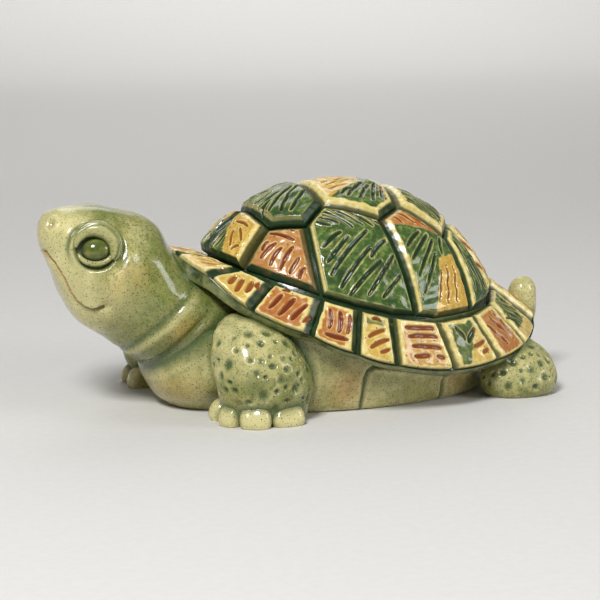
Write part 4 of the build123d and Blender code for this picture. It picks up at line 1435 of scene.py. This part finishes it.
class TURTLE_OT_eyes(bpy.types.Operator):
    """Model the eyeballs and the eyelids"""

    bl_idname = "turtle.eyes"
    bl_label = "Eyes and lids"

    def execute(self, context):
        for side, hand in ((-1, "left"), (1, "right")):
            self.ball(side, hand)
            self.lid(side, hand, "upper", 174.0, -38.0, 6.5, (1.0, 3.0, 1.9), 0.6, 1.0)
            self.lid(side, hand, "lower", 194.0, 338.0, 5.9, (0.8, 1.15, 0.9), 0.4, 0.84)
        return {"FINISHED"}

    def ball(self, side, hand):
        """One eyeball, an egg set in its socket."""
        start_fresh()
        bpy.ops.mesh.primitive_uv_sphere_add(segments=64, ring_count=40, radius=1)
        piece = named(f"glazed_eyeball_{hand}")
        ball = points_of(piece) * MM
        middle, rearward, upward, out = eye_frame(side)
        across, up_way, depth = (ball * EYEBALL).T
        points = middle - upward * 0.3 + across[:, None] * rearward
        place_points(piece, points + up_way[:, None] * upward + depth[:, None] * out)
        radius = np.hypot(ball[:, 0], ball[:, 1])
        # Painted shade at the top of the ball, where the upper lid hangs over it.
        lid_shadow = spot(ball[:, 0], ball[:, 1], (-0.05, 0.35), (0.5, 0.4))
        paint(piece, "wash", smooth_step(0.72, 0.95, radius), 0, 0.7 * lid_shadow)
        hand_in(piece, f"eyeball_{hand}", "olive_eye_glaze", BODY_CREASE)

    def lid(self, side, hand, which, first, last, ring, thickness, lift, squash):
        """A lid is a tapering roll that follows part of the eye's ring."""
        piece, u, v = grid_piece(f"glazed_{which}_eyelid_{hand}", 40, 120)
        middle, rearward, upward, out = eye_frame(side)
        angle = np.radians(first + (last - first) * v)
        taper = through([0.0, 0.5, 1.0], thickness, v) * np.sqrt(np.clip(1 - np.abs(2 * v - 1) ** 9, 0, 1))
        turn = 2 * pi * u
        reach = ring + taper * np.cos(turn)
        depth = lift + taper * 0.92 * np.sin(turn)
        fold = 0 * u
        if which == "upper":
            fold = bell(turn % (2 * pi), 1.0, 0.22) * smooth_step(0.05, 0.3, v)
            reach = reach - 0.75 * fold * np.cos(turn)
            depth = depth - 0.75 * fold * np.sin(turn)
        points = (
            middle
            + (reach * np.cos(angle))[:, None] * rearward
            + (reach * np.sin(angle) * squash)[:, None] * upward
            + depth[:, None] * out
        )
        place_points(piece, points)
        inner = smooth_step(0.2, -0.7, np.cos(turn)) * smooth_step(0.7, -0.2, np.sin(turn))
        outer = smooth_step(0.6, 1.0, np.cos(turn)) * smooth_step(0.6, 0.0, np.sin(turn))
        crown = smooth_step(0.4, 0.95, np.sin(turn))
        pooled = np.maximum(np.maximum(inner * 0.85, outer * 0.6), fold * 0.6)
        paint(piece, "wash", pooled, 0, 0.4 * crown)
        paint(piece, "tint", 0, 0.5, 0)
        join_seam(piece)
        hand_in(piece, f"{which}_eyelid_{hand}", "celadon_body_glaze", BODY_CREASE)


# Place along and across of the left legs; the right front leg is set a step ahead
FRONT_LEG, REAR_LEG = (-25.0, 35.5), (70.0, 28.5)
STRIDE = ((-1, "left", 0.0), (1, "right", 12.0))


class TURTLE_OT_legs(bpy.types.Operator):
    """Model the pitted legs"""

    bl_idname = "turtle.legs"
    bl_label = "Legs"

    # knot, ahead, out, height, half length, half width
    front = (
        (0.0, 0.8, 0.0, 0.0, 12.6, 8.2),
        (0.5, 0.8, 0.0, 1.8, 13.8, 9.4),
        (1.0, 0.6, 0.0, 5.5, 15.0, 10.8),
        (2.0, -0.2, 0.0, 12.0, 16.3, 12.9),
        (3.0, -1.8, -0.6, 20.0, 15.9, 13.2),
        (4.0, -3.4, -3.2, 27.0, 12.9, 11.4),
        (5.0, -4.6, -7.0, 32.2, 7.9, 7.6),
        (5.6, -5.2, -9.0, 34.4, 3.9, 3.8),
        (6.0, -5.2, -9.8, 35.0, 0.0, 0.0),
    )
    rear = (
        (0.0, 1.8, 0.0, 0.0, 11.8, 7.8),
        (0.5, 1.8, 0.0, 1.5, 13.4, 9.2),
        (1.0, 1.8, 0.0, 4.5, 14.2, 10.0),
        (2.0, 1.8, -0.8, 9.0, 13.6, 9.4),
        (3.0, 2.6, -3.2, 13.2, 11.2, 7.6),
        (4.0, 3.6, -7.0, 16.8, 7.6, 5.2),
        (4.6, 4.2, -8.4, 18.2, 3.8, 2.8),
        (5.0, 4.4, -8.8, 18.7, 0.0, 0.0),
    )

    def execute(self, context):
        for side, hand, step in STRIDE:
            self.leg(f"front_leg_{hand}", self.front, FRONT_LEG[0] - step, FRONT_LEG[1], side, 64, 61)
            self.leg(f"rear_leg_{hand}", self.rear, *REAR_LEG, side, 60, 65)
        return {"FINISHED"}

    def leg(self, node, rows, x, out, side, pits, seed):
        """One leg: ovals wrapped round its rows, pressed with pits."""
        piece, u, v = grid_piece("glazed_" + node, 240, 150)
        stations = [(k, x + ahead, side * (out + o), h, a, b) for k, ahead, o, h, a, b in rows]
        points = wrap_level(piece, u, v, stations)
        centre = np.array([x, side * out, 10.0])
        normals = outward(normals_of(piece), points - centre)
        top = max(row[3] for row in rows)

        def allow(at, way):
            outer = smooth_step(-0.5, 0.2, way[:, 1] * side + 0.3 * np.abs(way[:, 0]))
            outer = outer * (0.25 + 0.75 * smooth_step(x - 12, x + 4, at[:, 0]))
            level = at[:, 2] / top
            return outer * smooth_step(0.14, 0.3, level) * smooth_step(0.97, 0.8, level)

        depth = pit_field(points, normals, pits, (1.0, 2.5), seed + side, allow)

        def allow_fine(at, way):
            return smooth_step(0.25, 0.8, way[:, 0]) * smooth_step(1.0, 5.0, at[:, 2])

        fine = pit_field(points, normals, 60, (0.55, 0.95), seed + side + 2, allow_fine)
        depth = np.maximum(depth, fine)
        push = -mm(sizes().pit_depth) * depth + 0.22 * wobble(points, 9.0, seed) * smooth_step(0, 3, points[:, 2])
        points = points + normals * push[:, None]
        points[:, 2] = np.clip(points[:, 2], 0, None)
        place_points(piece, points)
        x_all, _, z = points.T
        patch = spot(x_all, z, (x - 2, 0.42 * top), (13, 0.2 * top))
        patch = patch * np.clip(0.7 + 0.6 * wobble(points, 7.0, seed + 5), 0, 1.2)
        patch = np.maximum(patch, 0.75 * smooth_step(0.0, 0.8, wobble(points, 5.5, seed + 6)))
        # Painted highlight: pale on the top front of the leg.
        pale = 0.75 * smooth_step(0.35 * top, 0.75 * top, z) * smooth_step(x + 16, x - 6, x_all)
        # Painted shade towards the rear of the leg; a rear leg also gets painted shade on its front, in the rim's
        # shadow, and a wider painted highlight.
        back = smooth_step(x + 2, x + 14, x_all)
        if node.startswith("rear"):
            back = 0.55 * np.maximum(back, smooth_step(x + 1, x - 11, x_all))
            pale = np.maximum(pale, 0.6 * smooth_step(0.1 * top, 0.4 * top, z))
        paint(piece, "wash", 0.88 * np.clip(depth * 1.5, 0, 1) ** 1.6, 0.25 * fine, 0.7 * pale)
        paint(piece, "tint", 0, np.maximum(0.95 * patch, 0.8 * back), 0)
        join_seam(piece)
        hand_in(piece, node, "celadon_body_glaze", BODY_CREASE)


class TURTLE_OT_toes(bpy.types.Operator):
    """Model the toe pads of the front feet"""

    bl_idname = "turtle.toes"
    bl_label = "Toes"

    # ahead of the leg, out from the leg, half width, half length, height, turn of the toe
    pads = (
        (-11.0, -7.0, 4.0, 6.0, 7.6, 176.0),
        (-10.4, 0.8, 4.2, 6.4, 8.0, 214.0),
        (-5.2, 5.8, 5.6, 6.6, 8.4, 250.0),
        (4.8, 6.2, 6.2, 6.0, 8.0, 274.0),
    )

    def execute(self, context):
        for side, hand, step in STRIDE:
            made = [self.pad(k, row, side, hand, step) for k, row in enumerate(self.pads)]
            start_fresh()
            for pad in made:
                pad.select_set(True)
            bpy.context.view_layer.objects.active = made[0]
            bpy.ops.object.join()
            piece = named(f"glazed_front_toes_{hand}")
            hand_in(piece, f"front_toes_{hand}", "celadon_body_glaze", BODY_CREASE)
        return {"FINISHED"}

    def pad(self, k, row, side, hand, step):
        """One toe: half a ball, squared and set on the floor."""
        ahead, out, half_width, half_length, height, turn = row
        start_fresh()
        bpy.ops.mesh.primitive_uv_sphere_add(segments=72, ring_count=48, radius=1)
        piece = named(f"toe_{hand}_{k}")
        bpy.ops.object.mode_set(mode="EDIT")
        bpy.ops.mesh.select_all(action="SELECT")
        bpy.ops.mesh.bisect(plane_co=(0, 0, 0.02), plane_no=(0, 0, 1), use_fill=True, clear_inner=True)
        bpy.ops.object.mode_set(mode="OBJECT")
        ball = points_of(piece) * MM
        full = np.sign(ball) * np.abs(ball) ** np.array([0.62, 0.62, 0.72])
        tuck = 1 - 0.10 * np.clip(1 - ball[:, 2] / 0.25, 0, 1) ** 2
        local = full * np.array([half_length, half_width, height])
        local[:, :2] *= tuck[:, None]
        local[:, 2] -= np.min(local[:, 2])
        local[:, 2] *= 1 - 0.16 * np.clip(local[:, 0] / half_length, 0, 1) ** 2
        way = radians(turn)
        forward = np.array([cos(way), -side * sin(way)])
        across = np.array([-forward[1], forward[0]])
        centre = np.array([FRONT_LEG[0] - step + ahead, side * (FRONT_LEG[1] + out)])
        points = np.zeros_like(local)
        points[:, :2] = centre + local[:, :1] * forward + local[:, 1:2] * across
        points[:, 2] = local[:, 2]
        points[:, :2] += 0.12 * wobble(points, 5.0, 80 + k)[:, None]
        place_points(piece, points)
        edge = smooth_step(0.55, 0.95, np.abs(ball[:, 1])) * 0.55
        paint(piece, "wash", edge * 0.6, 0.35 * smooth_step(0.2, 0.8, np.abs(ball[:, 1])), 1.0 - 0.7 * edge)
        paint(piece, "tint", 0, 0.2 * edge, 0)
        return piece


class TURTLE_OT_tail(bpy.types.Operator):
    """Model the tail stub"""

    bl_idname = "turtle.tail"
    bl_label = "Tail"

    # x, height and radius along the tail
    rows = (
        (64.0, 13.0, 6.8), (75.0, 13.8, 6.8), (82.0, 17.0, 6.6), (85.6, 23.0, 6.0), (86.7, 29.0, 5.2),
        (86.8, 32.4, 4.7), (86.7, 34.7, 3.3), (86.6, 35.8, 1.6), (86.6, 36.1, 0.0),
    )

    def execute(self, context):
        piece, u, v = grid_piece("glazed_tail", 96, 120)
        rows = self.rows
        knots = knots_along(rows, 0.6)
        at = v * knots[-1]
        x, z, r = (through(knots, [row[k] for row in rows], at) for k in range(3))
        step = 0.4
        ahead = np.clip(at + step, 0, knots[-1])
        behind = np.clip(at - step, 0, knots[-1])
        dx = through(knots, [row[0] for row in rows], ahead) - through(knots, [row[0] for row in rows], behind)
        dz = through(knots, [row[1] for row in rows], ahead) - through(knots, [row[1] for row in rows], behind)
        span = np.hypot(dx, dz) + 1e-9
        turn = 2 * pi * u
        r = np.clip(r, 0, None)
        points = np.stack(
            [x - r * np.sin(turn) * dz / span, r * np.cos(turn), z + r * np.sin(turn) * dx / span], axis=1
        )
        place_points(piece, points)
        paint(piece, "wash", 0, 0, 0.6 * smooth_step(22.0, 34.0, points[:, 2]))
        paint(piece, "tint", 0, 0.5 * smooth_step(26.0, 18.0, points[:, 2]), 0)
        join_seam(piece)
        hand_in(piece, "tail", "celadon_body_glaze", BODY_CREASE)
        return {"FINISHED"}


class TURTLE_OT_pool_glaze(bpy.types.Operator):
    """Let the glaze pool dark in the creases between neighbouring pieces"""

    bl_idname = "turtle.pool_glaze"
    bl_label = "Pool the glaze"

    def execute(self, context):
        limbs = [f"glazed_{end}_leg_{hand}" for end in ("front", "rear") for hand in ("left", "right")]
        rim = [p.name for p in bpy.data.objects if p.name.startswith("glazed_rim_tile")]
        toes = ["glazed_front_toes_left", "glazed_front_toes_right"]
        on_body = limbs + ["glazed_carapace", "glazed_head_and_neck", "glazed_tail"]
        self.pool("glazed_lower_body", on_body, 1.7, 0.85, 0.5)
        self.pool("glazed_head_and_neck", ["glazed_carapace", "glazed_lower_body"] + limbs + rim, 2.0, 0.8)
        for limb in limbs:
            self.pool(limb, ["glazed_lower_body", "glazed_carapace", "glazed_head_and_neck"] + toes, 1.7, 0.75)
        for hand, name in zip(("left", "right"), toes):
            self.pool(name, [f"glazed_front_leg_{hand}"], 1.2, 0.7)
        self.pool("glazed_tail", ["glazed_carapace", "glazed_lower_body"], 2.0, 0.6)
        return {"FINISHED"}

    def pool(self, name, neighbours, reach, strength, crest=0.0):
        """Darken a piece near its neighbours, with a pale crest beside the dark where asked."""
        piece = bpy.data.objects[name]
        points, polygons = [], []
        for other in neighbours:
            mesh = bpy.data.objects[other].data
            start = len(points)
            points += [tuple(p) for p in points_of(bpy.data.objects[other])]
            polygons += [[start + k for k in face.vertices] for face in mesh.polygons]
        tree = BVHTree.FromPolygons(points, polygons)
        far = reach * 3
        gaps = np.full(len(piece.data.vertices), far)
        for k, at in enumerate(points_of(piece)):
            _, _, _, gap = tree.find_nearest(at, far)
            if gap is not None:
                gaps[k] = gap
        layer = piece.data.attributes["wash"]
        values = np.empty(len(gaps) * 4, dtype=np.float32)
        layer.data.foreach_get("color", values)
        values = values.reshape(-1, 4)
        values[:, 0] = np.maximum(values[:, 0], strength * bell(gaps, 0, reach))
        values[:, 2] = np.maximum(values[:, 2], crest * bell(gaps / reach, 2.0, 0.6))
        layer.data.foreach_set("color", values.ravel())


# The photo camera: its angles, the frame and the focal length in pixels, the pixel of the
# point on the floor that it turns about, and the sensor in millimetres
PHOTO_AZIMUTH, PHOTO_ELEVATION = -20.0, 13.0
PHOTO_PIXELS, FOCAL_PIXELS = 600.0, 2000.0
AIM_PIXEL = (280.5, 393.4)
SENSOR = 36.0
AIR_COLOUR, AIR_STRENGTH = (1.0, 0.985, 0.96, 1), 0.24


class TURTLE_OT_stage(bpy.types.Operator):
    """Set the floor, the soft lamps and the camera"""

    bl_idname = "turtle.stage"
    bl_label = "Stage"

    def execute(self, context):
        floor, u, v = grid_piece("studio_floor", 24, 80)
        width, length, front = 4.0, 4.2, -0.9
        flat, bend = 2.3, 0.6
        run = v * length
        turn = np.clip((run - flat) / bend, 0, pi / 2)
        past = np.clip(run - flat - bend * pi / 2, 0, None)
        depth = front + np.minimum(run, flat) + bend * np.sin(turn)
        points = np.stack([(u - 0.5) * width, depth, bend * (1 - np.cos(turn)) + past], axis=1)
        place_points(floor, points / MM)
        bpy.ops.object.shade_smooth()
        paper = GlazeTree("floor_paper")
        grain = paper.noise(3.0, 4.0)
        tone = glaze_colours()["floor"]
        mottled = paper.mix(tone, tuple(c * 0.96 for c in tone), paper.ramp(grain, 0.3, 0.7))
        paper.dress({"Base Color": mottled, "Roughness": 0.75, "Specular IOR Level": 0.25})
        floor.data.materials.append(paper.material)
        self.lamp("key_lamp", (-0.50, -0.62, 0.85), (0.0, 0.0, 0.03), 0.28, 11.0)
        self.lamp("fill_lamp", (0.85, -0.60, 0.45), (0.0, 0.0, 0.03), 0.4, 3.6)
        self.lamp("back_lamp", (0.15, 0.75, 0.80), (0.0, 0.0, 0.04), 0.6, 1.8)
        self.lamp("backdrop_lamp", (0.5, 0.3, 1.9), (0.7, 2.0, 0.35), 1.4, 8.5, 64.0)
        self.world(context)
        self.camera(context)
        return {"FINISHED"}

    def lamp(self, name, place, target, size, power, spread=180.0):
        """One square area lamp that faces its target."""
        light = bpy.data.lights.new(name, "AREA")
        light.shape = "SQUARE"
        light.size = size
        light.energy = power
        light.spread = radians(spread)
        lamp = bpy.data.objects.new(name, light)
        bpy.context.scene.collection.objects.link(lamp)
        lamp.location = place
        lamp.rotation_euler = (Vector(target) - Vector(place)).to_track_quat("-Z", "Y").to_euler()

    def world(self, context):
        """Even pale light from all round."""
        world = bpy.data.worlds.new("studio_air")
        context.scene.world = world
        world.use_nodes = True
        background = world.node_tree.nodes["Background"]
        background.inputs["Color"].default_value = AIR_COLOUR
        background.inputs["Strength"].default_value = AIR_STRENGTH

    def camera(self, context):
        """The camera at the photo's viewing angle."""
        turn, rise, reach = radians(PHOTO_AZIMUTH), radians(PHOTO_ELEVATION), 0.70
        back = Vector((sin(turn) * cos(rise), -cos(turn) * cos(rise), sin(rise)))
        right = Vector((cos(turn), sin(turn), 0))
        up = back.cross(right)
        place = Vector((-0.0065, 0, 0)) + back * reach
        middle = PHOTO_PIXELS / 2
        aim = -back + right * ((middle - AIM_PIXEL[0]) / FOCAL_PIXELS)
        aim += up * ((AIM_PIXEL[1] - middle) / FOCAL_PIXELS)
        lens = bpy.data.cameras.new("photo_camera")
        lens.sensor_width = SENSOR
        lens.lens = SENSOR * FOCAL_PIXELS / PHOTO_PIXELS
        camera = bpy.data.objects.new("photo_camera", lens)
        context.scene.collection.objects.link(camera)
        camera.location = place
        camera.rotation_euler = aim.to_track_quat("-Z", "Y").to_euler()
        context.scene.camera = camera
        context.scene.view_settings.view_transform = "Standard"


class TURTLE_PT_panel(bpy.types.Panel):
    """Sidebar panel of the turtle"""

    bl_idname = "TURTLE_PT_panel"
    bl_label = "Glazed turtle"
    bl_space_type = "VIEW_3D"
    bl_region_type = "UI"
    bl_category = "Turtle"

    def draw(self, context):
        for group in (context.scene.turtle_sizes, context.scene.turtle_glazes):
            box = self.layout.box()
            for name in group.bl_rna.properties.keys():
                if name not in ("rna_type", "name"):
                    box.prop(group, name)
        for step in STEPS:
            self.layout.operator(step.bl_idname)


STEPS = (
    TURTLE_OT_stage,
    TURTLE_OT_carapace,
    TURTLE_OT_scutes,
    TURTLE_OT_rim_tiles,
    TURTLE_OT_lower_body,
    TURTLE_OT_head,
    TURTLE_OT_eyes,
    TURTLE_OT_legs,
    TURTLE_OT_toes,
    TURTLE_OT_tail,
    TURTLE_OT_pool_glaze,
)
CLASSES = (TurtleSizes, TurtleGlazes) + STEPS + (TURTLE_PT_panel,)


def register():
    for part in CLASSES:
        bpy.utils.register_class(part)
    bpy.types.Scene.turtle_sizes = PointerProperty(type=TurtleSizes)
    bpy.types.Scene.turtle_glazes = PointerProperty(type=TurtleGlazes)


def unregister():
    del bpy.types.Scene.turtle_glazes
    del bpy.types.Scene.turtle_sizes
    for part in reversed(CLASSES):
        bpy.utils.unregister_class(part)


def main():
    register()
    for step in STEPS:
        family, name = step.bl_idname.split(".")
        getattr(getattr(bpy.ops, family), name)()


if __name__ == "__main__":
    main()
